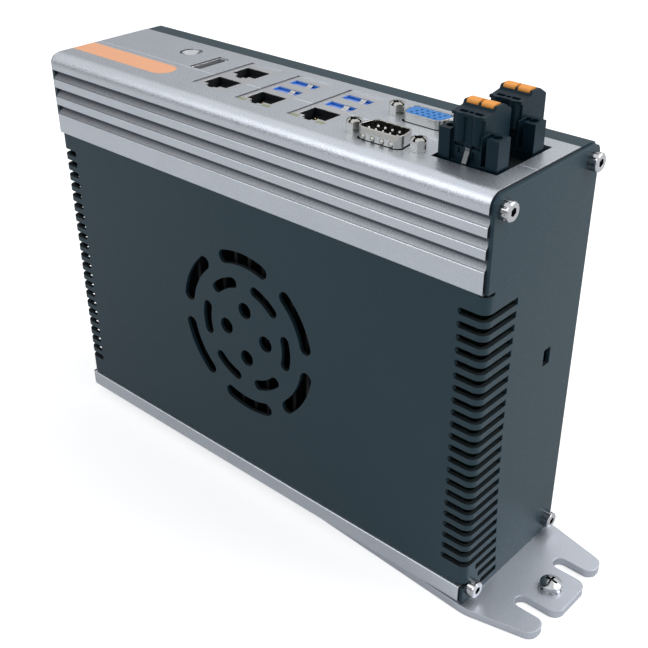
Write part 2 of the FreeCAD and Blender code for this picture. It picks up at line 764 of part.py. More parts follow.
def hdmi_shell():
    top = Z_TOP - PANEL_RECESS
    outer = solid_z(hdmi_corners(0.45), top - 11.0, top)
    inner = solid_z(hdmi_corners(0), top - 12.0, top + 1)
    return outer.cut(inner)


def hdmi_tongue():
    x = top_x(HDMI_X)
    y = top_y(HDMI_Y)
    top = Z_TOP - PANEL_RECESS
    plug = solid_z(hdmi_corners(-0.05), top - 11.0, top - 8.5)
    tongue = block(x - 0.2, y, 1.2, 11.5, top - 9.0, top - 1.5)
    base = box(x - 2.7, x + 2.7, y - 7.4, BOARD_FRONT, top - 14.0, top - 11.0)
    return join([plug, tongue, base])


def rj_opening(x, y, z0, z1):
    """Jack opening with the stepped latch notch towards the near side."""
    main = block(x, y, RJ_W, RJ_H, z0, z1)
    notch = block(x, y - RJ_H / 2 - RJ_NOTCH_H / 2 + 0.1, RJ_NOTCH_W, RJ_NOTCH_H + 0.2, z0, z1)
    tip = block(x, y - RJ_H / 2 - RJ_NOTCH_H - 0.5, RJ_NOTCH_W / 2, 1.4, z0, z1)
    return join([main, notch, tip])


def jack_shell(x, near, openings):
    """Folded metal hood round a stacked socket: front and four sides."""
    skin = 0.3
    top = Z_TOP - PANEL_RECESS
    outer = box(x - JACK_W / 2, x + JACK_W / 2, near, BOARD_FRONT, top - JACK_DEPTH, top)
    inner = box(x - JACK_W / 2 + skin, x + JACK_W / 2 - skin, near + skin, BOARD_FRONT - skin,
                top - JACK_DEPTH - 1, top - skin)
    return outer.cut([inner] + openings)


def jack_core(x, near, cavities):
    """Moulded body that fills the hood."""
    skin = 0.3
    top = Z_TOP - PANEL_RECESS
    body = box(x - JACK_W / 2 + skin, x + JACK_W / 2 - skin, near + skin, BOARD_FRONT - skin,
               top - JACK_DEPTH, top - skin)
    return body.cut(cavities)


def rj_contacts(x, y, top):
    """Eight spring wires in one jack, as a comb on the far wall."""
    wires = []
    for k in range(8):
        place = x + (k - 3.5) * 1.02
        wires.append(block(place, y + RJ_H / 2 - 0.8, 0.45, 1.7, top - 11.0, top - 2.5))
    return wires


def pair_places():
    return [top_y(20.2), top_y(34.3)]


def lan_pair_shell():
    top = Z_TOP - PANEL_RECESS
    x = top_x(PAIR_X)
    cuts = [rj_opening(x, y, top - 2, top + 1) for y in pair_places()]
    return jack_shell(x, top_y(JACK_NEAR_Y + 2), cuts)


def lan_pair_core():
    top = Z_TOP - PANEL_RECESS
    x = top_x(PAIR_X)
    cuts = [rj_opening(x, y, top - 13, top + 1) for y in pair_places()]
    body = jack_core(x, top_y(JACK_NEAR_Y + 2), cuts)
    wires = []
    for y in pair_places():
        wires += rj_contacts(x, y, top)
    return join([body] + wires)


def usb_places():
    return [top_y(28.5), top_y(37.2)]


def usb_opening(x, y, inset, z0, z1):
    half_w = USB_W / 2 - inset
    half_h = USB_H / 2 - inset
    return solid_z(rectangle(x - half_w, x + half_w, y - half_h, y + half_h, 0.5), z0, z1)


def usb_liner(x, y):
    """Steel tube of one USB port with a spring finger on its near wall."""
    top = Z_TOP - PANEL_RECESS
    tube = usb_opening(x, y, 0.05, top - USB_LINER_H, top)
    tube = tube.cut(usb_opening(x, y, 0.05 + USB_SKIN, top - USB_LINER_H - 1, top + 1))
    wall = y - USB_H / 2 + 0.1
    finger = [(wall, top - 0.6, 0), (wall, top - 5.0, 0), (wall + 1.1, top - 2.2, 0.4), (wall + 1.1, top - 1.6, 0.4)]
    return tube.fuse(solid_x(finger, x + 1.2, x + 3.0))


def led_windows(x, grow, z0, z1):
    y = top_y(LED_Y)
    return [block(x + side * LED_X, y, LED_W + grow, LED_H + grow, z0, z1) for side in (-1, 1)]


def led_lenses():
    """Clear lenses of the link lamps, two in front of each network jack with USB ports."""
    top = Z_TOP - PANEL_RECESS
    lenses = []
    for place in COMBO_X:
        lenses += led_windows(top_x(place), 0, top - LED_DEPTH, top + 0.1)
    return Part.makeCompound(lenses)


def combo_shell(x):
    top = Z_TOP - PANEL_RECESS
    cuts = [rj_opening(x, top_y(18.4), top - 2, top + 1)] + led_windows(x, 0.1, top - 2, top + 1)
    cuts += [usb_opening(x, y, 0.05 + USB_SKIN, top - 2, top + 1) for y in usb_places()]
    return join([jack_shell(x, top_y(JACK_NEAR_Y), cuts)] + [usb_liner(x, y) for y in usb_places()])


def combo_core(x):
    top = Z_TOP - PANEL_RECESS
    cuts = [rj_opening(x, top_y(18.4), top - 13, top + 1)] + led_windows(x, 0.1, top - LED_DEPTH - 0.1, top + 1)
    cuts += [usb_opening(x, y, 0, top - 12, top + 1) for y in usb_places()]
    body = jack_core(x, top_y(JACK_NEAR_Y), cuts)
    return join([body] + rj_contacts(x, top_y(18.4), top))


def combo_tongues(x):
    """Blue contact tongues, one per USB port, standing on the floor of the port."""
    top = Z_TOP - PANEL_RECESS
    parts = []
    for y in usb_places():
        tongue = block(x, y + 0.5, 11.2, 1.9, top - 11, top - 1.0)
        floor = solid_z(rectangle(x - 6.1, x + 6.1, y - 2.4, y + 2.4, 0.4), top - 12, top - 10)
        parts.append(join([tongue, floor]))
    return Part.makeCompound(parts)


# ---------------------------------------------------------------- D-sub pair
def dsub_shell(place, rise, wide_side, dimples):
    skin = 0.45
    top = Z_TOP + rise
    low = PANEL_LOW - 2.2
    x = top_x(DSUB_X)
    y = top_y(place)
    hood = dsub_prism(place, 0, wide_side, low, top)
    flange = solid_z(rectangle(x - 15.4, x + 15.4, y - 6.2, y + 6.2, 1.5), low, PANEL_LOW)
    body = join([hood, flange])
    if dimples:
        bumps = []
        for k in range(4):
            place_x = x + (k - 1.5) * 3.6
            bumps.append(Part.makeSphere(DIMPLE_R, V(place_x, y - 4.0, Z_TOP + DIMPLE_R + 0.2)))
        body = join([body] + bumps)
    holes = [rod_z(M3_R, x + side * DSUB_SPACING / 2, y, low - 1, PANEL_LOW + 1) for side in (-1, 1)]
    return body.cut([dsub_prism(place, -skin, wide_side, low - 1, top + 1)] + holes)


def com_insulator():
    """Black moulding with its floor level with the panel, so the pins stand free in the hood."""
    return dsub_prism(COM_Y, -0.5, -1, PANEL_LOW - 2.2, Z_TOP - 0.4)


def com_pins():
    """Nine round pins with tapered tips, five in the near row and four in the far row."""
    pins = []
    y = top_y(COM_Y)
    floor = Z_TOP - 0.4
    tip = floor + PIN_H
    profile = [(0, floor, 0), (PIN_R, floor, 0), (PIN_R, tip - PIN_R, 0), (PIN_R / 2, tip, 0), (0, tip, 0)]
    for k in range(9):
        row = -1.42
        place = (k - 2) * 2.77
        if k > 4:
            row = 1.42
            place = (k - 6.5) * 2.77
        x = top_x(DSUB_X) + place
        pins.append(turned(profile, x, y + row))
    return Part.makeCompound(pins)


def vga_insulator():
    """Blue moulding with three rows of five contact holes."""
    body = dsub_prism(VGA_Y, -0.5, 1, PANEL_LOW - 2.2, Z_TOP + VGA_RISE - 0.2)
    holes = []
    for row in range(3):
        for k in range(5):
            x = top_x(DSUB_X) + (k - 2) * 2.29 + (row - 1) * 0.57
            y = top_y(VGA_Y) + (row - 1) * 1.98
            holes.append(rod_z(0.5, x, y, Z_TOP + 0.4, Z_TOP + VGA_RISE + 1))
    return body.cut(holes)


def jackscrew(x, y):
    """Hexagon jackscrew with a threaded mouth and a crown of four prongs."""
    top = Z_TOP + HEX_H
    dome_r = 4.6
    head = hexagon(x, y, HEX_FLAT, Z_TOP, top)
    head = head.common(Part.makeSphere(dome_r, V(x, y, top - dome_r + 0.3)))
    shank = rod_z(M3_R - 0.1, x, y, PANEL_LOW - 5.0, Z_TOP + 0.5)
    mouth = rod_z(1.3, x, y, Z_TOP + 1.0, top + 1)
    across = block(x, y, HEX_FLAT * 2, CROWN_W, top - CROWN_H, top + 1)
    along = block(x, y, CROWN_W, HEX_FLAT * 2, top - CROWN_H, top + 1)
    return join([head, shank]).cut([mouth, across, along])


def jackscrews():
    parts = []
    for place in (COM_Y, VGA_Y):
        for side in (-1, 1):
            parts.append(jackscrew(top_x(DSUB_X) + side * DSUB_SPACING / 2, top_y(place)))
    return Part.makeCompound(parts)


def dsub_frame():
    """Moulded stand that carries both D-sub connectors off the mainboard."""
    x = top_x(DSUB_X)
    top = PANEL_LOW - 2.2
    low = top - 9.0
    body = box(x - 15.4, x + 15.4, top_y(COM_Y) - 6.2, BOARD_FRONT, low, top)
    holes = []
    for place in (COM_Y, VGA_Y):
        for side in (-1, 1):
            holes.append(rod_z(M3_R + 0.2, x + side * DSUB_SPACING / 2, top_y(place), low - 1, top + 1))
    return body.cut(holes)


# ---------------------------------------------------------------- terminal plugs
def plug_left():
    return top_x(FLANGE_X) - FLANGED_W / 2


def plug_front(index):
    return top_y(PLUG_Y) + index * PLUG_PITCH


def terminal_header():
    """Black socket block below the panel opening with one pocket per plug."""
    low = Z_TOP - 20
    collar = box(top_x(OPENING_X0) + 0.2, top_x(OPENING_X1) - 0.2, top_y(OPENING_Y0) + 0.2,
                 top_y(OPENING_Y1) - 0.2, low, Z_TOP - 2.4)
    foot = box(top_x(OPENING_X0) + 0.2, top_x(OPENING_X1) - 0.2, top_y(OPENING_Y0) + 1, BOARD_FRONT,
               low, PANEL_LOW - 8.2)
    body = join([collar, foot])
    cuts = []
    for index in range(2):
        front = plug_front(index)
        cuts.append(box(plug_left() + 0.6, plug_left() + FLANGED_W - 0.6, front + 0.3,
                        front + FLANGE_DEPTH + 0.4, Z_TOP - 2.4 - INSERT_DEPTH, Z_TOP))
    return body.cut(cuts + pin_bars())


def pin_bars():
    """Square contact pins, two per plug."""
    pins = []
    for index in range(2):
        y = plug_front(index) + 3.4
        for side in (-1, 1):
            x = top_x(PLUG_X) + side * POLE_PITCH / 2
            pins.append(block(x, y, 1.0, 1.0, Z_TOP - 14, Z_TOP - 4.5))
    return pins


def header_pins():
    return Part.makeCompound(pin_bars())


def plug_profile(front):
    """Side view of a plug above its flanges as (y, z, radius); the hump behind holds the levers."""
    back = front + PLUG_DEPTH
    deck = Z_TOP + PLUG_TOP
    waist = Z_TOP + 5.2
    wall = front + FLANGE_DEPTH + 1.4
    return [(front + WALL_BACK, Z_TOP + 0.1, 0), (front + WALL_BACK, deck - 0.5, 0), (front + 2.0, deck, 0.4),
            (front + 5.7, deck + 0.6, 0), (front + 6.3, deck + 1.9, 0.5), (back - 3.6, deck + 1.8, 0.8),
            (back, deck - 0.4, 1.0), (back, waist, 0.4), (wall, waist, 0.4), (wall, Z_TOP + 0.1, 0)]


def plug_columns(front):
    """Two half-round wire funnels that swell out of the front face, and the lip over them."""
    parts = []
    for side in (-1, 1):
        x = top_x(PLUG_X) + side * COLUMN_PLACE
        parts.append(rod_z(COLUMN_R, x, front + COLUMN_R, Z_TOP + 6.0, Z_TOP + PLUG_TOP))
    parts.append(block(top_x(PLUG_X), front + WALL_BACK, PLUG_W, 1.8, Z_TOP + PLUG_TOP - 0.9, Z_TOP + PLUG_TOP))
    return parts


def plug_flanges(front):
    """Side blocks that guide the plug; each has a round recess and a slit next to the body."""
    left_end = plug_left()
    right_end = left_end + FLANGED_W
    x = top_x(PLUG_X)
    left = box(left_end, x - PLUG_W / 2 + 0.2, front, front + FLANGE_DEPTH, Z_TOP + 0.1, Z_TOP + FLANGE_TOP)
    right = box(x + PLUG_W / 2 - 0.2, right_end, front, front + FLANGE_DEPTH, Z_TOP + 0.1, Z_TOP + FLANGE_TOP)
    insert = box(left_end + 0.8, right_end - 0.8, front + 0.5, front + FLANGE_DEPTH + 0.2,
                 Z_TOP - 2.4 - INSERT_DEPTH + 1, Z_TOP + 0.2)
    return [left, right, insert]


def pocket_x(side):
    return top_x(PLUG_X) + side * POLE_PITCH / 2


def plug_cuts(front):
    cuts = []
    x = top_x(PLUG_X)
    deck = Z_TOP + PLUG_TOP
    for side in (-1, 1):
        pole = pocket_x(side)
        column = x + side * COLUMN_PLACE
        cuts.append(block(pole, front + LEVER_PLACE, LEVER_W + 0.3, LEVER_DEPTH + 0.3, Z_TOP + 7.0, deck + 4))
        cuts.append(block(pole, front + 2.2, 2.9, 1.5, deck - 3.0, deck + 2))
        cuts.append(block(pole, front + 3.7, 3.2, 3.0, Z_TOP - 2.0 - INSERT_DEPTH, Z_TOP + 5.0))
        cuts.append(block(column, front + WALL_BACK, 3.2, 1.4, Z_TOP + 4.4, Z_TOP + 6.1))
    for place in (plug_left() + 2.2, plug_left() + FLANGED_W - 2.6):
        cuts.append(rod_z(1.5, place, front + 3.0, Z_TOP + FLANGE_TOP - 4, Z_TOP + FLANGE_TOP + 1))
    cuts.append(block(x, front + 2.2, 1.5, 1.3, deck - 3.0, deck + 2))
    slit = x + PLUG_W / 2 + 0.1
    cuts.append(box(slit, slit + 1.6, front - 1, front + FLANGE_DEPTH - 1.6, Z_TOP + 0.6, Z_TOP + FLANGE_TOP + 1))
    cuts.append(block(x - 2.6, front + WALL_BACK, 1.4, 1.0, Z_TOP + 2.2, Z_TOP + 3.8))
    cuts.append(block(x + 2.6, front + WALL_BACK, 1.8, 1.0, Z_TOP + 0.8, Z_TOP + 3.4))
    return cuts


def plug_body(index):
    front = plug_front(index)
    x = top_x(PLUG_X)
    tower = solid_x(plug_profile(front), x - PLUG_W / 2, x + PLUG_W / 2)
    body = join([tower] + plug_columns(front) + plug_flanges(front))
    return cut_all(body, plug_cuts(front))


def plug_lever(index, side):
    """Orange release button with a sloped, rounded face and a long guided stem."""
    front = plug_front(index)
    x = pocket_x(side)
    top = Z_TOP + PLUG_TOP
    y0 = front + LEVER_PLACE - LEVER_DEPTH / 2
    y1 = y0 + LEVER_DEPTH
    profile = [(y0, Z_TOP + 9.0, 0), (y0, top + 2.0, 0.8), (y0 + 1.6, top + 2.5, 1.0)]
    profile += [(y1, top + 2.2, 0.6), (y1, Z_TOP + 9.0, 0)]
    return solid_x(profile, x - LEVER_W / 2, x + LEVER_W / 2)


def plug_clamps(index):
    """Two spring-clamp cages inside the plug, one per pole."""
    front = plug_front(index)
    parts = []
    for side in (-1, 1):
        x = pocket_x(side)
        cage = block(x, front + 3.7, 3.1, 2.9, Z_TOP - 1.0 - INSERT_DEPTH, Z_TOP + 4.9)
        parts.append(cage.cut(block(x, front + 3.4, 1.5, 1.6, Z_TOP - 2.0 - INSERT_DEPTH, Z_TOP + 4.0)))
    return Part.makeCompound(parts)


def plug_strap(index):
    """Light steel latch leaf that leans out from the skirt of the plug."""
    wall = plug_front(index) + WALL_BACK
    x = top_x(PLUG_X) + 0.3
    skin = 0.5
    low = Z_TOP + 0.2
    high = Z_TOP + 4.6
    leaf = [(wall, high, 0), (wall, high - 1.2, 0), (wall - 1.5, low, 0), (wall - 1.5 - skin, low, 0),
            (wall - skin, high - 1.0, 0), (wall - skin, high, 0)]
    return solid_x(leaf, x - 0.8, x + 0.8)


# ---------------------------------------------------------------- boards and cooling
def mainboard():
    low = Z_LOW + WALL + 0.4
    high = PANEL_LOW - 4
    board = box(-X_IN + BOARD_MARGIN, X_IN - BOARD_MARGIN, BOARD_FRONT, BOARD_BACK, low, high)
    holes = [rod_y(M3_R, x, BOARD_FRONT - 1, BOARD_BACK + 1, z) for x, z in rear_screw_places()]
    return board.cut(holes)


def processor():
    z = GRILLE_Z
    carrier = box(-16, 16, BOARD_FRONT - 1.2, BOARD_FRONT, z - 14, z + 14)
    lid = box(-9, 9, BOARD_FRONT - 2.6, BOARD_FRONT - 1.2, z - 7, z + 7)
    return join([carrier, lid])


def thermal_pad():
    z = GRILLE_Z
    return box(-9, 9, BOARD_FRONT - 4.0, BOARD_FRONT - 2.6, z - 7, z + 7)


def heatsink():
    """Passive finned block behind the grille, standing on four legs of its own."""
    z = GRILLE_Z
    back = BOARD_FRONT - 4.0
    base = back - 4.0
    fin_near = Y_NEAR + SHEET_SETBACK + SHEET + 2.0
    parts = [box(-SINK_L / 2, SINK_L / 2, base, back, z - SINK_H / 2, z + SINK_H / 2)]
    pitch = (SINK_L - FIN_T) / (FINS - 1)
    for k in range(FINS):
        x = -SINK_L / 2 + k * pitch
        parts.append(box(x, x + FIN_T, fin_near, base + 0.1, z - SINK_H / 2, z + SINK_H / 2))
    for x in (-SINK_L / 2 + 4, SINK_L / 2 - 4):
        for height in (-SINK_H / 2 + 4, SINK_H / 2 - 4):
            parts.append(rod_y(3.0, x, back - 0.1, BOARD_FRONT, z + height))
    return join(parts)


def memory_socket():
    z = Z_LOW + 34
    x = 20.0
    body = box(x - 36, x + 36, BOARD_BACK, BOARD_BACK + 5.2, z, z + 6)
    arms = [box(x - 36, x - 34.2, BOARD_BACK, BOARD_BACK + 5.2, z, z + 28)]
    arms.append(box(x + 34.2, x + 36, BOARD_BACK, BOARD_BACK + 5.2, z, z + 28))
    slot = box(x - 33.9, x + 33.9, BOARD_BACK + 3.0, BOARD_BACK + 4.2, z + 2, z + 7)
    return join([body] + arms).cut(slot)


def memory_module():
    z = Z_LOW + 34
    x = 20.0
    card = box(x - 33.8, x + 33.8, BOARD_BACK + 3.05, BOARD_BACK + 4.15, z + 2.1, z + 32)
    chips = []
    for k in range(4):
        place = x - 24 + k * 16
        chips.append(box(place - 5.5, place + 5.5, BOARD_BACK + 4.1, BOARD_BACK + 5.1, z + 12, z + 25))
    return join([card] + chips)


def solid_state_drive():
    z = Z_LOW + 88
    x = 10.0
    socket = box(x + 38, x + 46, BOARD_BACK, BOARD_BACK + 4.2, z - 11, z + 11)
    card = box(x - 40, x + 40, BOARD_BACK + 2.4, BOARD_BACK + 3.2, z - 11, z + 11)
    post = rod_y(2.5, x - 37, BOARD_BACK, BOARD_BACK + 2.5, z)
    chips = [box(x - 30, x - 14, BOARD_BACK + 3.1, BOARD_BACK + 4.4, z - 7, z + 7)]
    chips.append(box(x - 6, x + 10, BOARD_BACK + 3.1, BOARD_BACK + 4.4, z - 7, z + 7))
    chips.append(box(x + 18, x + 30, BOARD_BACK + 3.1, BOARD_BACK + 4.2, z - 6, z + 6))
    return join([socket, card, post] + chips)


def coin_holder():
    x = -66.0
    z = Z_LOW + 60
    cup = rod_y(11.5, x, BOARD_BACK, BOARD_BACK + 5.0, z)
    cuts = [rod_y(10.1, x, BOARD_BACK + 1.2, BOARD_BACK + 6, z)]
    cuts.append(box(x - 5, x + 5, BOARD_BACK + 1.2, BOARD_BACK + 6, z + 5, z + 13))
    return cup.cut(cuts)


def coin_cell():
    x = -66.0
    z = Z_LOW + 60
    return rod_y(10.0, x, BOARD_BACK + 1.2, BOARD_BACK + 4.4, z)


def inductors():
    parts = []
    for k in range(4):
        z = GRILLE_Z + 26 - k * 14
        parts.append(box(63, 71, BOARD_FRONT - 5.0, BOARD_FRONT, z - 4, z + 4))
    return Part.makeCompound(parts)


def capacitors():
    parts = []
    for k in range(5):
        z = GRILLE_Z + 28 - k * 12
        parts.append(rod_y(3.2, 80, BOARD_FRONT - 8.0, BOARD_FRONT, z))
        parts.append(rod_y(3.2, -70, BOARD_FRONT - 8.0, BOARD_FRONT, z))
    return Part.makeCompound(parts)


def nodes():
    left, right = [top_x(place) for place in COMBO_X]
    return {
        "front_extrusion": front_extrusion(),
        "io_strip": io_strip(),
        "bottom_extrusion": bottom_extrusion(),
        "accent_inlay": accent_inlay(),
        "side_cover": side_cover(),
        "rear_cover": rear_cover(),
        "rear_screws": rear_screws(),
        "end_screws": end_screws(),
        "mounting_plate": mounting_plate(),
        "plate_screws": plate_screws(),
        "earth_washer": earth_washer(),
        "earth_screw": earth_screw(),
        "power_button": power_button(),
        "power_switch": power_switch(),
        "switch_plunger": switch_plunger(),
        "hdmi_shell": hdmi_shell(),
        "hdmi_tongue": hdmi_tongue(),
        "lan_pair_shell": lan_pair_shell(),
        "lan_pair_core": lan_pair_core(),
        "combo_left_shell": combo_shell(left),
        "combo_left_core": combo_core(left),
        "combo_left_tongues": combo_tongues(left),
        "combo_right_shell": combo_shell(right),
        "combo_right_core": combo_core(right),
        "combo_right_tongues": combo_tongues(right),
        "led_lenses": led_lenses(),
        "com_shell": dsub_shell(COM_Y, COM_RISE, -1, True),
        "com_insulator": com_insulator(),
        "com_pins": com_pins(),
        "vga_shell": dsub_shell(VGA_Y, VGA_RISE, 1, False),
        "vga_insulator": vga_insulator(),
        "jackscrews": jackscrews(),
        "dsub_frame": dsub_frame(),
        "terminal_header": terminal_header(),
        "header_pins": header_pins(),
        "near_plug_body": plug_body(0),
        "near_plug_lever_left": plug_lever(0, -1),
        "near_plug_lever_right": plug_lever(0, 1),
        "near_plug_clamps": plug_clamps(0),
        "near_plug_strap": plug_strap(0),
        "far_plug_body": plug_body(1),
        "far_plug_lever_left": plug_lever(1, -1),
        "far_plug_lever_right": plug_lever(1, 1),
        "far_plug_clamps": plug_clamps(1),
        "far_plug_strap": plug_strap(1),
        "mainboard": mainboard(),
        "standoffs": standoffs(),
        "board_screws": board_screws(),
        "processor": processor(),
        "thermal_pad": thermal_pad(),
        "heatsink": heatsink(),
        "memory_socket": memory_socket(),
        "memory_module": memory_module(),
        "solid_state_drive": solid_state_drive(),
        "coin_holder": coin_holder(),
        "coin_cell": coin_cell(),
        "inductors": inductors(),
        "capacitors": capacitors(),
    }


os.makedirs("parts", exist_ok=True)
for name, shape in nodes().items():
    shape.exportStep("parts/" + name + ".step")
    print(name, len(shape.Solids), round(shape.Volume / 1000, 2), shape.isValid())
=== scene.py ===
# %% [markdown]
# # A fanless box computer
#
# This notebook dresses a small industrial computer for a product picture. Its hard parts
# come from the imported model, already in place and in metres. Here they get their finishes:
# blasted aluminium, textured black powder coat, zinc plated steel, nickel, moulded plastic.
# A few fine pieces are added that the eye misses when they are gone: the spring wires of
# the network jacks, the linings, fingers and pads of the USB sockets, and the pads of the
# small video socket.

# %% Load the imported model
import bpy
import bmesh
import math
from mathutils import Matrix, Vector


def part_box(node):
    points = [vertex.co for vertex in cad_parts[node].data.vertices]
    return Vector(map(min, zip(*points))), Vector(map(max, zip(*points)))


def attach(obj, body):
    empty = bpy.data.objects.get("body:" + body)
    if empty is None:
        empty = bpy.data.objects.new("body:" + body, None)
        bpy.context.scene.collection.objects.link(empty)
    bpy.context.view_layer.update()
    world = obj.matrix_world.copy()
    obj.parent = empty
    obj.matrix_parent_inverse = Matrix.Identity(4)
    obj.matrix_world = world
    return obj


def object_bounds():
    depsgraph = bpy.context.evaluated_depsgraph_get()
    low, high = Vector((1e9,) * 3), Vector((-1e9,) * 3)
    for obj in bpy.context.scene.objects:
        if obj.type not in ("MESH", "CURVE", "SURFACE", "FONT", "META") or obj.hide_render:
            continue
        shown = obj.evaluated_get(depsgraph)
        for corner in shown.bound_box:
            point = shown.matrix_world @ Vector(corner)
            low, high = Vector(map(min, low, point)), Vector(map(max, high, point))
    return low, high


mm = 0.001
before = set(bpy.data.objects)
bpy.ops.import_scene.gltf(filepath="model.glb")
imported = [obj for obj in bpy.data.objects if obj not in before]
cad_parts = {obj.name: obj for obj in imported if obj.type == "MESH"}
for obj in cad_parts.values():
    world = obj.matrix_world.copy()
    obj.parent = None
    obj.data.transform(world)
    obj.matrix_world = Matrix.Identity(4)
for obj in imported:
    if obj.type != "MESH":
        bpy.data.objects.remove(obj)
packed_box = [list(corner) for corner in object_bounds()]
print("pieces in the packed model:", len(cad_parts))
print("its box in metres:", packed_box)

# %% [markdown]
# ## The camera
#
# The camera stands at the right, in front and above, where a person at a bench would
# look from. A lens of about 58 mm on a 36 mm sensor at this short distance
# gives the strong perspective in which the upright edges lean together downwards.
# A camera looks along its own -Z axis with +Y as its up direction. So its turn can be
# written as three columns: right, up, and the opposite of the view direction.

# %% Place the camera
azimuth = math.radians(42.372)
elevation = math.radians(30.680)
roll = math.radians(-0.350)
camera_place = (0.2413, -0.24945, 0.2682)
focal_length = 57.88
sensor_width = 36.0

view_direction = Vector((-math.sin(azimuth) * math.cos(elevation),
                         math.cos(azimuth) * math.cos(elevation),
                         -math.sin(elevation)))
level_right = view_direction.cross(Vector((0, 0, 1))).normalized()
level_up = level_right.cross(view_direction)
right = level_right * math.cos(roll) + level_up * math.sin(roll)
up = level_up * math.cos(roll) - level_right * math.sin(roll)

camera_data = bpy.data.cameras.new("bench_camera")
camera_data.lens = focal_length
camera_data.sensor_width = sensor_width
camera_data.clip_start = 10 * mm
camera = bpy.data.objects.new("bench_camera", camera_data)
bpy.context.scene.collection.objects.link(camera)
turn = Matrix((right, up, -view_direction)).transposed().to_4x4()
camera.matrix_world = Matrix.Translation(camera_place) @ turn
bpy.context.scene.camera = camera
print("camera looks along", [round(value, 3) for value in view_direction])

# %% [markdown]
# ## The room
#
# The computer stands in soft, even light on a white sweep, and the world is the room
# round it. The camera sees it white. Metal sees a room with a bright ceiling, a little to
# the right, and a dim horizon, because a metal that mirrors white everywhere looks like
# paper. Matt surfaces get one plain level of light from it.
#
# The floor needs the same three answers. So one helper asks the light path which ray is
# looking, and picks a strength for the camera, for mirrors and glass, or for the rest.

# %% Helpers for a strength that depends on the ray
def feed(links, socket, value):
    """Give a socket a plain number or colour, or link it to another node's output."""
    if isinstance(value, tuple):
        socket.default_value = (*value, 1)
    elif isinstance(value, float):
        socket.default_value = value
    else:
        links.new(value, socket)


def pick(nodes, links, test, otherwise, chosen):
    """A number that is the chosen one where the test is one."""
    choice = nodes.new("ShaderNodeMix")
    choice.data_type = "FLOAT"
    links.new(test, choice.inputs[0])
    feed(links, choice.inputs[2], otherwise)
    feed(links, choice.inputs[3], chosen)
    return choice.outputs[0]


def combine(nodes, links, operation, first, second):
    """Two numbers joined by a math operation."""
    joint = nodes.new("ShaderNodeMath")
    joint.operation = operation
    feed(links, joint.inputs[0], first)
    feed(links, joint.inputs[1], second)
    return joint.outputs[0]


def strength_by_ray(nodes, links, strength, matt, metal, eye):
    """Drive a strength by what looks: a matt surface, a mirror or glass, or the camera."""
    rays = nodes.new("ShaderNodeLightPath")
    mirrored = combine(nodes, links, "MAXIMUM",
                       rays.outputs["Is Glossy Ray"], rays.outputs["Is Transmission Ray"])
    for_metal = pick(nodes, links, mirrored, matt, metal)
    for_eye = pick(nodes, links, rays.outputs["Is Camera Ray"], for_metal, eye)
    links.new(for_eye, strength)


# %% Room and view transform
bpy.context.scene.view_settings.view_transform = "Standard"
ceiling_direction = (0.35, 0.0, 0.93)
horizon_level = 0.25
ceiling_level = 1.12
matt_level = 0.5

room = bpy.data.worlds.new("white_room")
bpy.context.scene.world = room
room.use_nodes = True
room_nodes = room.node_tree.nodes
room_links = room.node_tree.links
room_light = room_nodes["Background"]
room_light.inputs["Color"].default_value = (1, 1, 1, 1)

heading = room_nodes.new("ShaderNodeTexCoord")
overhead = room_nodes.new("ShaderNodeVectorMath")
overhead.operation = "DOT_PRODUCT"
overhead.inputs[1].default_value = ceiling_direction
room_links.new(heading.outputs["Generated"], overhead.inputs[0])
ceiling = room_nodes.new("ShaderNodeMapRange")
ceiling.interpolation_type = "SMOOTHSTEP"
ceiling.inputs["From Min"].default_value = -0.1
ceiling.inputs["From Max"].default_value = 0.42
ceiling.inputs["To Min"].default_value = horizon_level
ceiling.inputs["To Max"].default_value = ceiling_level
room_links.new(overhead.outputs["Value"], ceiling.inputs["Value"])
strength_by_ray(room_nodes, room_links, room_light.inputs["Strength"],
                matt=matt_level, metal=ceiling.outputs["Result"], eye=1.0)
print("room lights matt surfaces at", matt_level)

# %% [markdown]
# ## Lamps
#
# The top and the end face are the brighter ones, so the large soft lamp hangs behind and
# to the right. A weaker one fills from the front left. Both are large for their distance,
# which keeps their shadows soft.

# %% Hang the lamps
def soft_lamp(name, place, aim, side, power):
    """A square lamp at place that shines towards aim."""
    lamp = bpy.data.lights.new(name, "AREA")
    lamp.shape = "RECTANGLE"
    lamp.size = side
    lamp.size_y = side
    lamp.energy = power
    holder = bpy.data.objects.new(name, lamp)
    holder.location = place
    holder.rotation_euler = (Vector(aim) - Vector(place)).to_track_quat("-Z", "Y").to_euler()
    bpy.context.scene.collection.objects.link(holder)
    print(name, "at", place, "with", power, "W")


soft_lamp("softbox_behind_right", place=(0.75, 0.55, 0.95), aim=(0.05, 0, 0.08), side=0.9, power=10.0)
soft_lamp("softbox_front_left", place=(-0.6, -0.9, 0.8), aim=(0, 0, 0.08), side=0.8, power=3.0)

# %% [markdown]
# ## The floor
#
# A plain pale floor reaches past every edge of the picture. A studio lifts its sweep to
# white with lamps of its own. Here a glow does that for the eye, and a much weaker one
# for what the metal mirrors. It throws no light on matt surfaces, and the soft shadow
# under the plate stays.

# %% Lay the floor
reach = 6.0
gap_below_plate = 0.2 * mm
sweep_mesh = bpy.data.meshes.new("sweep")
sweep_mesh.from_pydata([(-reach, -reach, 0), (reach, -reach, 0), (reach, reach, 0), (-reach, reach, 0)],
                       [], [(0, 1, 2, 3)])
sweep = bpy.data.objects.new("sweep", sweep_mesh)
bpy.context.scene.collection.objects.link(sweep)
sweep.location.z = packed_box[0][2] - gap_below_plate

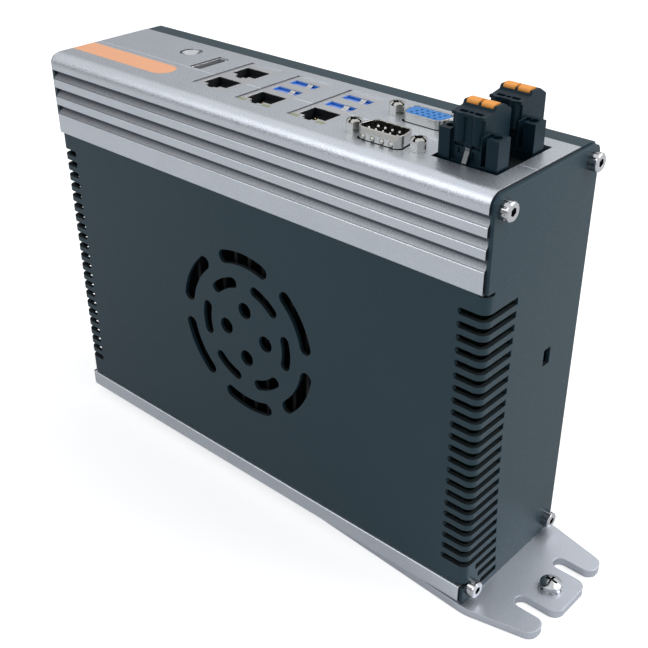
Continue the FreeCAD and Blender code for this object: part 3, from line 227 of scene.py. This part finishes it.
sweep_paint = bpy.data.materials.new("white_sweep")
sweep_paint.use_nodes = True
sweep_shader = sweep_paint.node_tree.nodes["Principled BSDF"]
sweep_shader.inputs["Base Color"].default_value = (0.70, 0.71, 0.72, 1)
sweep_shader.inputs["Roughness"].default_value = 0.9
sweep_shader.inputs["Emission Color"].default_value = (1, 1, 1, 1)
strength_by_ray(sweep_paint.node_tree.nodes, sweep_paint.node_tree.links,
                sweep_shader.inputs["Emission Strength"], matt=0.0, metal=0.15, eye=0.62)
sweep_mesh.materials.append(sweep_paint)
print("floor at", round(sweep.location.z, 4))

# %% [markdown]
# ## How a finish is built
#
# Every finish below starts from the same two things: a material with its one shader, and
# the object's own coordinates in metres, so that a grain of a quarter of a millimetre is
# a quarter of a millimetre on every piece. Noise is scaled per metre: 4000 means features
# a quarter of a millimetre wide.
#
# - A *grain* is a noise. It drives the roughness, a slight change of colour, or a bump.
# - *Soft edges* come from the shader's bevel: it rounds the shading at a sharp edge, as
#   the real edge is broken by tumbling, blasting or paint.

# %% Helpers for colour and grain
def new_finish(name, color, metallic, roughness):
    """A material with its shader set, as (material, nodes, links, shader)."""
    finish = bpy.data.materials.new(name)
    finish.use_nodes = True
    shader = finish.node_tree.nodes["Principled BSDF"]
    shader.inputs["Base Color"].default_value = (*color, 1)
    shader.inputs["Metallic"].default_value = metallic
    shader.inputs["Roughness"].default_value = roughness
    return finish, finish.node_tree.nodes, finish.node_tree.links, shader


def grain(nodes, links, per_metre, stretch=(1, 1, 1), detail=3.0):
    """Noise in the object's own space, squeezed along an axis where stretch is above one."""
    place = nodes.new("ShaderNodeTexCoord")
    squeeze = nodes.new("ShaderNodeMapping")
    squeeze.inputs["Scale"].default_value = stretch
    noise = nodes.new("ShaderNodeTexNoise")
    noise.inputs["Scale"].default_value = per_metre
    noise.inputs["Detail"].default_value = detail
    links.new(place.outputs["Object"], squeeze.inputs["Vector"])
    links.new(squeeze.outputs["Vector"], noise.inputs["Vector"])
    return noise.outputs["Fac"]


def ramp(nodes, links, source, start, end, low=0.0, high=1.0):
    """Low before the start, high after the end, and even between them."""
    remap = nodes.new("ShaderNodeMapRange")
    remap.inputs["From Min"].default_value = start
    remap.inputs["From Max"].default_value = end
    remap.inputs["To Min"].default_value = low
    remap.inputs["To Max"].default_value = high
    links.new(source, remap.inputs["Value"])
    return remap.outputs["Result"]


def spread(nodes, links, source, low, high):
    """The grain's middle range stretched to run from low to high."""
    return ramp(nodes, links, source, 0.3, 0.7, low, high)


def blended(nodes, links, share, first, second, blend_type="MIX"):
    """The first colour, going over to the second or multiplied by it as the share rises."""
    mix = nodes.new("ShaderNodeMix")
    mix.data_type = "RGBA"
    mix.blend_type = blend_type
    links.new(share, mix.inputs["Factor"])
    feed(links, mix.inputs["A"], first)
    feed(links, mix.inputs["B"], second)
    return mix.outputs["Result"]


# %% Helpers for edges, relief and painted shade in recesses
def soft_edges(nodes, radius):
    """A normal that is rounded over at sharp edges."""
    rounding = nodes.new("ShaderNodeBevel")
    rounding.samples = 4
    rounding.inputs["Radius"].default_value = radius
    return rounding.outputs["Normal"]


def relief(nodes, links, shader, heights, depth, strength, edge):
    """Bump of the given depth in metres, laid over the rounded edges."""
    bump = nodes.new("ShaderNodeBump")
    bump.inputs["Distance"].default_value = depth
    bump.inputs["Strength"].default_value = strength
    links.new(heights, bump.inputs["Height"])
    links.new(edge, bump.inputs["Normal"])
    links.new(bump.outputs["Normal"], shader.inputs["Normal"])


def shade_recesses(nodes, links, color, recess_shade_color, wall_distance=1.5 * mm):
    """The colour, turned to the recess colour as painted shade where walls stand close on all sides."""
    hollows = nodes.new("ShaderNodeAmbientOcclusion")
    hollows.samples = 6
    hollows.only_local = True
    hollows.inputs["Distance"].default_value = wall_distance
    openness = ramp(nodes, links, hollows.outputs["AO"], 0.45, 0.85)
    return blended(nodes, links, openness, recess_shade_color, color)


# %% Helpers for whole finishes
def even_finish(name, dark, light, rough, per_metre, depth, edge_radius=0.15 * mm,
                metallic=0.0, stretch=(1, 1, 1), recess_shade_color=None):
    """A finish with two close tones, a wandering roughness and a fine relief."""
    finish, nodes, links, shader = new_finish(name, dark, metallic, rough[0])
    fine = grain(nodes, links, per_metre, stretch)
    slow = grain(nodes, links, per_metre / 40, detail=2.0)
    color = blended(nodes, links, slow, dark, light)
    # Where a recess colour is given, the recesses get painted shade.
    if recess_shade_color is not None:
        color = shade_recesses(nodes, links, color, recess_shade_color)
    links.new(color, shader.inputs["Base Color"])
    links.new(spread(nodes, links, fine, rough[0], rough[1]), shader.inputs["Roughness"])
    relief(nodes, links, shader, fine, depth, 0.5, soft_edges(nodes, edge_radius))
    return finish


def mirror_look(finish, level, tint=(1.0, 1.0, 1.0)):
    """Set how strongly a finish mirrors at its surface, and with which tint."""
    shader = finish.node_tree.nodes["Principled BSDF"]
    shader.inputs["Specular IOR Level"].default_value = level
    shader.inputs["Specular Tint"].default_value = (*tint, 1)


def dress(finish, *names):
    """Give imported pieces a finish, in every material slot they have."""
    for name in names:
        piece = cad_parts[name]
        for slot in piece.material_slots:
            slot.material = finish
    print(finish.name, "on", len(names), "pieces")


# %% [markdown]
# ## Blasted, anodised aluminium
#
# The silver edges are one long extrusion each. Such profiles are blasted with fine beads
# before they are anodised, which leaves a dull sparkle: each small dimple mirrors the
# room in another direction. So the shader is mostly metallic, and its grain is a bump of
# less than a tenth of a millimetre. Faint draw lines from the die run along X; a noise
# stretched along X makes those.

# %% Silver extrusions
silver, nodes, links, shader = new_finish("blasted_aluminium", (0.58, 0.605, 0.655), 0.85, 0.36)
beads = grain(nodes, links, 2600, detail=2.0)
die_lines = grain(nodes, links, 900, stretch=(0.02, 1, 1), detail=2.0)
cloud = grain(nodes, links, 60, detail=2.0)
tone = combine(nodes, links, "ADD", combine(nodes, links, "MULTIPLY", cloud, 0.6),
               combine(nodes, links, "MULTIPLY", spread(nodes, links, beads, 0.0, 1.0), 0.4))
shine = blended(nodes, links, tone, (0.505, 0.54, 0.595), (0.62, 0.66, 0.72))
links.new(spread(nodes, links, beads, 0.24, 0.42), shader.inputs["Roughness"])
texture = combine(nodes, links, "ADD", combine(nodes, links, "MULTIPLY", die_lines, 0.25), beads)
relief(nodes, links, shader, texture, 0.08 * mm, 0.8, soft_edges(nodes, 0.2 * mm))
dress(silver, "front_extrusion", "io_strip", "bottom_extrusion")

# %% [markdown]
# ## Painted shade in the grooves
#
# The grooves of the silver edge look nearly black behind their lips. The soft room here
# fills them with more light than that, so shade is painted into the colour: it follows
# the depth below the near face. It is bright on the rib, dark behind the lip, a little
# lighter inside and dark again at the bottom. The walls of the openings get painted
# shade too. They are the ones that face along X, which the surface normal tells.

# %% Painted shade in grooves and on walls facing X
def parts_of(nodes, links, kind):
    """The X, Y and Z parts of the object's own coordinates or of the surface normal."""
    spot = nodes.new("ShaderNodeTexCoord")
    parts = nodes.new("ShaderNodeSeparateXYZ")
    links.new(spot.outputs[kind], parts.inputs["Vector"])
    return parts.outputs


near_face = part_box("front_extrusion")[0].y
top_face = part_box("front_extrusion")[1].z
ribs_top = top_face - 5.8 * mm
ribs_foot = top_face - 27.0 * mm
groove_bottom = near_face + 1.8 * mm
place = parts_of(nodes, links, "Object")
facing = parts_of(nodes, links, "Normal")

groove_shade = nodes.new("ShaderNodeValToRGB")
steps = groove_shade.color_ramp.elements
steps[0].color = (1, 1, 1, 1)
steps[1].color = (0.12, 0.13, 0.15, 1)
for depth, level in ((0.07, 0.95), (0.12, 0.25), (0.18, 0.25), (0.26, 0.42), (0.6, 0.28)):
    steps.new(depth).color = (level, level, level, 1)
links.new(ramp(nodes, links, place["Y"], near_face, groove_bottom), groove_shade.inputs["Fac"])

ribbed = combine(nodes, links, "MULTIPLY",
                 ramp(nodes, links, place["Z"], ribs_top, ribs_top - 0.4 * mm),
                 ramp(nodes, links, place["Z"], ribs_foot, ribs_foot + 0.5 * mm))
# Painted shade: the groove ramp multiplies the silver colour.
grooved = blended(nodes, links, ribbed, shine, groove_shade.outputs["Color"], "MULTIPLY")
# Painted shade on the walls of the openings that face along X.
wall_shade = ramp(nodes, links, combine(nodes, links, "ABSOLUTE", facing["X"], 0.0), 0.5, 0.8)
links.new(blended(nodes, links, wall_shade, grooved, (0.10, 0.105, 0.115)), shader.inputs["Base Color"])
print("grooves darken down to", round(groove_bottom - near_face, 4), "m below the near face")

# %% [markdown]
# ## Powder coat
#
# The black covers are folded steel with a fine textured powder coat. Powder flows into a
# tight orange peel of about half a millimetre, with a low sheen. Its black is not neutral
# but a deep blue-green slate, and a tint on what it mirrors keeps that cast.
#
# The walls of the vent slots get painted shade, nearly black, and a dull roughness, again as
# a help, because the room would light them. They are the faces below the top zone that point up or down.

# %% Black covers
black_coat, nodes, links, shader = new_finish("textured_powder_coat", (0.010, 0.029, 0.042), 0.0, 0.48)
peel = grain(nodes, links, 2200, detail=1.5)
patches = grain(nodes, links, 25, detail=2.0)
slate = blended(nodes, links, patches, (0.009, 0.027, 0.040), (0.012, 0.031, 0.045))

slots_top = top_face - 20 * mm
facing = parts_of(nodes, links, "Normal")
place = parts_of(nodes, links, "Object")
level = ramp(nodes, links, combine(nodes, links, "ABSOLUTE", facing["Z"], 0.0), 0.6, 0.8)
slot_wall = combine(nodes, links, "MULTIPLY", level,
                    ramp(nodes, links, place["Z"], slots_top, slots_top - 2 * mm))
# Painted shade: the slot walls turn nearly black.
links.new(blended(nodes, links, slot_wall, slate, (0.001, 0.002, 0.003)), shader.inputs["Base Color"])
dull = combine(nodes, links, "MAXIMUM", spread(nodes, links, peel, 0.42, 0.54),
               combine(nodes, links, "MULTIPLY", slot_wall, 0.95))
links.new(dull, shader.inputs["Roughness"])
relief(nodes, links, shader, peel, 0.04 * mm, 0.4, soft_edges(nodes, 0.3 * mm))
mirror_look(black_coat, 0.45, tint=(0.72, 0.92, 1.0))
dress(black_coat, "side_cover", "rear_cover")

# %% [markdown]
# ## The coloured field
#
# A plain orange field with a round end marks the left of the top. On the real panel it is
# thick screen ink or a film that lies level with the metal. It gets a bump like that of
# the beads, only weaker.

# %% Accent field
orange_ink = even_finish("orange_ink", dark=(0.90, 0.43, 0.235), light=(0.93, 0.46, 0.255),
                         rough=(0.42, 0.5), per_metre=3000, depth=0.02 * mm)
dress(orange_ink, "accent_inlay")

# %% [markdown]
# ## Zinc plated steel
#
# The mounting plate is cut steel sheet, 3 mm thick, with the look of zinc plating: a faint
# directional grain across the sheet and a cloudy, slightly blue grey. The grain is noise
# stretched along Y. It changes the colour, the roughness and the relief together, and the
# clouds change the colour.

# %% Mounting plate
zinc, nodes, links, shader = new_finish("zinc_plated_steel", (0.47, 0.50, 0.56), 0.85, 0.45)
rolled = grain(nodes, links, 2400, stretch=(1, 0.5, 1), detail=2.0)
clouds = grain(nodes, links, 45, detail=3.0)
tone = combine(nodes, links, "ADD", combine(nodes, links, "MULTIPLY", clouds, 0.4),
               combine(nodes, links, "MULTIPLY", spread(nodes, links, rolled, 0.0, 1.0), 0.6))
cloudy = blended(nodes, links, tone, (0.43, 0.46, 0.51), (0.54, 0.57, 0.63))
links.new(cloudy, shader.inputs["Base Color"])
links.new(spread(nodes, links, rolled, 0.34, 0.52), shader.inputs["Roughness"])
relief(nodes, links, shader, rolled, 0.09 * mm, 0.8, soft_edges(nodes, 0.5 * mm))
dress(zinc, "mounting_plate")

# %% [markdown]
# ## Bright screws
#
# The end screws, the earth screw with its washer, the plate and board screws and the
# clamp cages of the plugs share one bright plated steel, and so does the coin cell. It is
# nearly a mirror. The sharp break between the pale room and the black covers in flutes
# and sockets makes it look like metal, so the roughness stays low and only a fine grain
# disturbs it. Its tones are darker than such plating is, and narrow recesses get painted
# shade, nearly black, because the soft light fills them more than it should. The screws of
# the far cover are blackened.

# %% Screws, cages and coin cell
# Bright plated steel; its narrow recesses get painted shade.
bright = even_finish("bright_plated_steel", dark=(0.43, 0.44, 0.46), light=(0.51, 0.52, 0.54),
                     rough=(0.06, 0.16), per_metre=5000, depth=0.01 * mm, edge_radius=0.2 * mm,
                     metallic=1.0, recess_shade_color=(0.03, 0.035, 0.04))
dress(bright, "end_screws", "earth_screw", "earth_washer", "plate_screws", "board_screws",
      "near_plug_clamps", "far_plug_clamps", "coin_cell")
blackened = even_finish("black_oxide_steel", dark=(0.020, 0.022, 0.025), light=(0.030, 0.032, 0.036),
                        rough=(0.35, 0.5), per_metre=4000, depth=0.01 * mm, metallic=0.6)
dress(blackened, "rear_screws")

# %% [markdown]
# ## Connector hoods
#
# The hoods of the network, USB and small video ports are stamped from thin plated sheet
# and look nearly like the panel round them. The D-shaped shells stand up free. They, the
# jackscrews beside them and the pins of the serial port get a slightly warm nickel, which
# mirrors the black plugs and the pale room side by side.

# %% Hoods, shells and jackscrews
tin = even_finish("tin_plated_hood", dark=(0.56, 0.575, 0.60), light=(0.62, 0.635, 0.66),
                  rough=(0.26, 0.38), per_metre=2600, depth=0.02 * mm, metallic=0.85)
dress(tin, "hdmi_shell", "lan_pair_shell", "combo_left_shell", "combo_right_shell")
# Nickel; its narrow recesses get painted shade.
nickel = even_finish("nickel_plated_shell", dark=(0.42, 0.42, 0.40), light=(0.50, 0.495, 0.475),
                     rough=(0.10, 0.22), per_metre=3200, depth=0.01 * mm, edge_radius=0.3 * mm,
                     metallic=1.0, recess_shade_color=(0.05, 0.05, 0.045))
dress(nickel, "com_shell", "vga_shell", "com_pins", "jackscrews")

# %% [markdown]
# ## The power button
#
# The button is turned from aluminium and dished, so that a fingertip finds it. Turning
# leaves rings, which a wave round the axis would give; at this size a low roughness and a
# little relief are enough.

# %% Button
polished = even_finish("turned_aluminium", dark=(0.46, 0.47, 0.50), light=(0.54, 0.55, 0.58),
                       rough=(0.12, 0.2), per_metre=4500, depth=0.01 * mm, metallic=1.0)
dress(polished, "power_button")

# %% [markdown]
# ## Plastic of the sockets
#
# Sockets are moulded in filled nylon, which is matt and shows a slight flow grain. Fast
# USB ports are blue by convention, and so is the analog video port. The tongues are a
# lighter blue than the linings, which are added further down.

# %% Socket plastics
nylon = even_finish("glass_filled_nylon", dark=(0.004, 0.006, 0.007), light=(0.007, 0.009, 0.011),
                    rough=(0.45, 0.6), per_metre=2500, depth=0.03 * mm)
mirror_look(nylon, 0.3)
dress(nylon, "lan_pair_core", "combo_left_core", "combo_right_core", "hdmi_tongue", "com_insulator",
      "dsub_frame", "terminal_header", "power_switch", "switch_plunger", "memory_socket", "coin_holder")
usb_plastic = even_finish("usb_blue", dark=(0.015, 0.17, 0.66), light=(0.03, 0.22, 0.74),
                          rough=(0.16, 0.28), per_metre=2500, depth=0.02 * mm)
tongue_plastic = even_finish("usb_tongue", dark=(0.17, 0.30, 0.80), light=(0.22, 0.36, 0.88),
                             rough=(0.12, 0.22), per_metre=2500, depth=0.02 * mm)
dress(tongue_plastic, "combo_left_tongues", "combo_right_tongues")
video_plastic = even_finish("video_blue", dark=(0.025, 0.20, 0.58), light=(0.04, 0.25, 0.66),
                            rough=(0.35, 0.48), per_metre=2500, depth=0.02 * mm)
dress(video_plastic, "vga_insulator")

# %% [markdown]
# ## Plugs and lamps
#
# The terminal plugs are a black plastic with a blue cast, and their release levers are
# orange. The steel strap across each plug is dull. The lamp windows beside the network
# jacks are small lenses that let light in a little way, which subsurface scattering gives.

# %% Plugs, levers, straps and lenses
plug_plastic = even_finish("plug_black", dark=(0.0025, 0.012, 0.020), light=(0.004, 0.016, 0.025),
                           rough=(0.40, 0.54), per_metre=1800, depth=0.03 * mm, edge_radius=0.25 * mm)
mirror_look(plug_plastic, 0.22, tint=(0.62, 0.86, 1.0))
dress(plug_plastic, "near_plug_body", "far_plug_body")
lever_plastic = even_finish("lever_orange", dark=(0.92, 0.34, 0.045), light=(0.96, 0.40, 0.07),
                            rough=(0.32, 0.44), per_metre=2000, depth=0.02 * mm, edge_radius=0.3 * mm)
dress(lever_plastic, "near_plug_lever_left", "near_plug_lever_right",
      "far_plug_lever_left", "far_plug_lever_right")
lens = even_finish("lamp_lens", dark=(0.26, 0.30, 0.16), light=(0.34, 0.38, 0.20),
                   rough=(0.2, 0.3), per_metre=2500, depth=0.01 * mm)
lens_shader = lens.node_tree.nodes["Principled BSDF"]
lens_shader.inputs["Subsurface Weight"].default_value = 0.3
lens_shader.inputs["Subsurface Radius"].default_value = (1 * mm, 1 * mm, 0.5 * mm)
dress(lens, "led_lenses")
strap_steel = even_finish("latch_steel", dark=(0.10, 0.11, 0.115), light=(0.14, 0.15, 0.155),
                          rough=(0.3, 0.42), per_metre=3000, depth=0.01 * mm, metallic=0.8)
dress(strap_steel, "near_plug_strap", "far_plug_strap")

# %% [markdown]
# ## Inside the housing
#
# Through the slots one sees only a dark hint of what is inside, yet each piece gets its
# own finish: a heat sink in black anodised aluminium, a green mainboard, black chip
# packages, and gold on the header pins and spacers.

# %% Boards and cooling
sink = even_finish("black_anodised_sink", dark=(0.005, 0.006, 0.008), light=(0.009, 0.010, 0.013),
                   rough=(0.55, 0.7), per_metre=1500, depth=0.03 * mm, stretch=(1, 0.05, 1))
mirror_look(sink, 0.2)
dress(sink, "heatsink")
board_mask = even_finish("green_solder_mask", dark=(0.008, 0.070, 0.030), light=(0.012, 0.095, 0.042),
                         rough=(0.25, 0.4), per_metre=900, depth=0.05 * mm)
dress(board_mask, "mainboard", "memory_module", "solid_state_drive")
package = even_finish("chip_package", dark=(0.018, 0.018, 0.020), light=(0.026, 0.026, 0.028),
                      rough=(0.45, 0.6), per_metre=3000, depth=0.02 * mm)
dress(package, "processor", "inductors", "capacitors")
gold = even_finish("gold_flash", dark=(0.80, 0.60, 0.26), light=(0.88, 0.68, 0.32),
                   rough=(0.16, 0.26), per_metre=4000, depth=0.01 * mm, metallic=1.0)
dress(gold, "standoffs", "header_pins")
pad = even_finish("thermal_pad_grey", dark=(0.30, 0.36, 0.42), light=(0.36, 0.42, 0.48),
                  rough=(0.6, 0.75), per_metre=2000, depth=0.03 * mm)
dress(pad, "thermal_pad")

# %% [markdown]
# ## Contacts
#
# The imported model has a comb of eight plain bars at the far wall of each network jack,
# and bare tongues in the USB and small video sockets. The gold is what the eye finds in an
# open socket, so it is added here: eight bent wires in each network jack, flat pads on the
# tongues of the USB and video sockets.
#
# One helper sweeps a flat strip along a bent line in the YZ plane. The strip is a chain of
# thin box sections that share their ends, as a stamped contact is one strip bent in steps.

# %% Helpers for strips and pads
def bent_strip(mesh, x, width, line, thick):
    """Add a strip of the given width round x that follows (y, z) points."""
    rows = []
    for index, (y, z) in enumerate(line):
        before = Vector(line[max(index - 1, 0)])
        after = Vector(line[min(index + 1, len(line) - 1)])
        along = (after - before).normalized()
        side = Vector((-along.y, along.x)) * thick / 2
        rows.append([mesh.verts.new((x - width / 2, y + side.x, z + side.y)),
                     mesh.verts.new((x + width / 2, y + side.x, z + side.y)),
                     mesh.verts.new((x + width / 2, y - side.x, z - side.y)),
                     mesh.verts.new((x - width / 2, y - side.x, z - side.y))])
    for first, second in zip(rows, rows[1:]):
        for corner in range(4):
            following = (corner + 1) % 4
            mesh.faces.new((first[corner], first[following], second[following], second[corner]))
    mesh.faces.new(rows[0][::-1])
    mesh.faces.new(rows[-1])


def flat_pad(mesh, low, high):
    """Add a small six-sided pad between two corners."""
    (x0, y0, z0), (x1, y1, z1) = low, high
    corners = [mesh.verts.new(place) for place in
               ((x0, y0, z0), (x1, y0, z0), (x1, y1, z0), (x0, y1, z0),
                (x0, y0, z1), (x1, y0, z1), (x1, y1, z1), (x0, y1, z1))]
    for ring in ((0, 3, 2, 1), (4, 5, 6, 7), (0, 1, 5, 4), (1, 2, 6, 5), (2, 3, 7, 6), (3, 0, 4, 7)):
        mesh.faces.new([corners[index] for index in ring])


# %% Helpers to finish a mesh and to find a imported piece
def finished_piece(name, mesh, finish, body="housing"):
    """Turn a built mesh into an object with its finish, riding on a body."""
    bmesh.ops.recalc_face_normals(mesh, faces=mesh.faces)
    data = bpy.data.meshes.new(name)
    mesh.to_mesh(data)
    mesh.free()
    data.materials.append(finish)
    piece = bpy.data.objects.new(name, data)
    bpy.context.scene.collection.objects.link(piece)
    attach(piece, body)
    print(name, "has", len(data.polygons), "faces")


def middle_of(name):
    """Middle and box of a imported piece, in metres."""
    low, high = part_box(name)
    return (low + high) / 2, low, high


# %% [markdown]
# ## Network jack contacts
#
# A network jack has eight gilded spring wires, 1.02 mm apart. Each comes up along the far
# wall, turns over a comb tooth and slants down into the cavity, where the plug presses on
# it. A swept strip with a few stations is enough, because the bends are only seen as a
# change of glint. Each station is written as millimetres behind the middle of the jack and
# below the panel.

# %% Spring wires of the four jacks
wire_count = 8
wire_pitch = 1.02 * mm
wire_width = 0.32 * mm
wire_thick = 0.14 * mm
wire_stations = ((2.15, 8.6), (2.15, 3.4), (1.9, 2.8), (1.3, 2.9), (0.2, 6.5), (-0.9, 10.2))
panel_above_core = 0.3 * mm
jack_middles = {"lan_pair_core": (6.9, 21.0), "combo_left_core": (7.1,), "combo_right_core": (7.1,)}

contact_mesh = bmesh.new()
for core, middles in jack_middles.items():
    centre, low, high = middle_of(core)
    top = high.z + panel_above_core
    for middle in middles:
        y = low.y + middle * mm
        line = [(y + behind * mm, top - below * mm) for behind, below in wire_stations]
        for wire in range(wire_count):
            x = centre.x + (wire - (wire_count - 1) / 2) * wire_pitch
            bent_strip(contact_mesh, x, wire_width, line, wire_thick)
finished_piece("jack_contacts", contact_mesh, gold)

# %% [markdown]
# ## USB sockets
#
# A fast USB socket is lined with blue plastic, and a bright spring finger reaches in from
# the steel tube to hold the plug. The tongue carries a row of gilded pads near its tip.
# Lining and fingers are what one sees from above, the pads only from a steep angle.

# %% Sizes of a USB socket
usb_middles = (17.2 * mm, 25.9 * mm)
half_wide = 5.85 * mm
half_tall = 2.15 * mm
skin = 0.22 * mm
lining_top = 0.35 * mm
lining_foot = 9.6 * mm
finger_stations = ((1.9, 0.25), (1.6, 0.3), (0.9, 0.7), (-0.2, 0.85), (-0.8, 1.6))
finger_offset = 1.4 * mm
finger_width = 2.2 * mm
finger_thick = 0.15 * mm
pad_count = 5
pad_pitch = 2.0 * mm
pad_low = Vector((-0.5, -0.5, -6.0)) * mm
pad_high = Vector((0.5, -0.45, -1.5)) * mm
print("each USB lining is", round(2 * half_wide, 4), "m wide")

# %% Linings, fingers and pads of the four USB sockets
lining_mesh = bmesh.new()
finger_mesh = bmesh.new()
pad_mesh = bmesh.new()
for core in ("combo_left_core", "combo_right_core"):
    centre, low, high = middle_of(core)
    x = centre.x
    top = high.z + panel_above_core
    foot = top - lining_foot
    rim = top - lining_top
    for middle in usb_middles:
        y = low.y + middle
        flat_pad(lining_mesh, (x - half_wide, y + half_tall - skin, foot),
                 (x + half_wide, y + half_tall, rim))
        for inner, outer in ((x - half_wide, x - half_wide + skin), (x + half_wide - skin, x + half_wide)):
            flat_pad(lining_mesh, (inner, y - half_tall, foot), (outer, y + half_tall - skin, rim))
        line = [(y + behind * mm, top - below * mm) for behind, below in finger_stations]
        bent_strip(finger_mesh, x + finger_offset, finger_width, line, finger_thick)
        for index in range(pad_count):
            middle_of_pad = Vector((x + (index - (pad_count - 1) / 2) * pad_pitch, y, top))
            flat_pad(pad_mesh, middle_of_pad + pad_low, middle_of_pad + pad_high)
finished_piece("usb_linings", lining_mesh, usb_plastic)
finished_piece("usb_fingers", finger_mesh, bright)
finished_piece("usb_pads", pad_mesh, gold)

# %% [markdown]
# ## Video socket pads
#
# The small digital video socket has a tongue with nineteen gilded pads in two staggered
# rows. They sit on both faces of the tongue, thin enough to be drawn as flat pads.

# %% Pads of the video tongue
video_pitch = 1.0 * mm
video_pad_half_width = 0.22 * mm
video_pad_thick = 0.05 * mm
tongue_half_thick = 0.6 * mm
tongue_off_middle = 0.2 * mm
shell_middle = middle_of("hdmi_shell")[0]
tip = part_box("hdmi_shell")[1].z - 1.5 * mm
video_mesh = bmesh.new()
for count, side in ((10, -1), (9, 1)):
    face = shell_middle.x - tongue_off_middle + side * tongue_half_thick
    inner, outer = sorted((face, face + side * video_pad_thick))
    for index in range(count):
        y = shell_middle.y + (index - (count - 1) / 2) * video_pitch
        flat_pad(video_mesh, (inner, y - video_pad_half_width, tip - 4.5 * mm),
                 (outer, y + video_pad_half_width, tip - 0.3 * mm))
finished_piece("video_pads", video_mesh, gold)
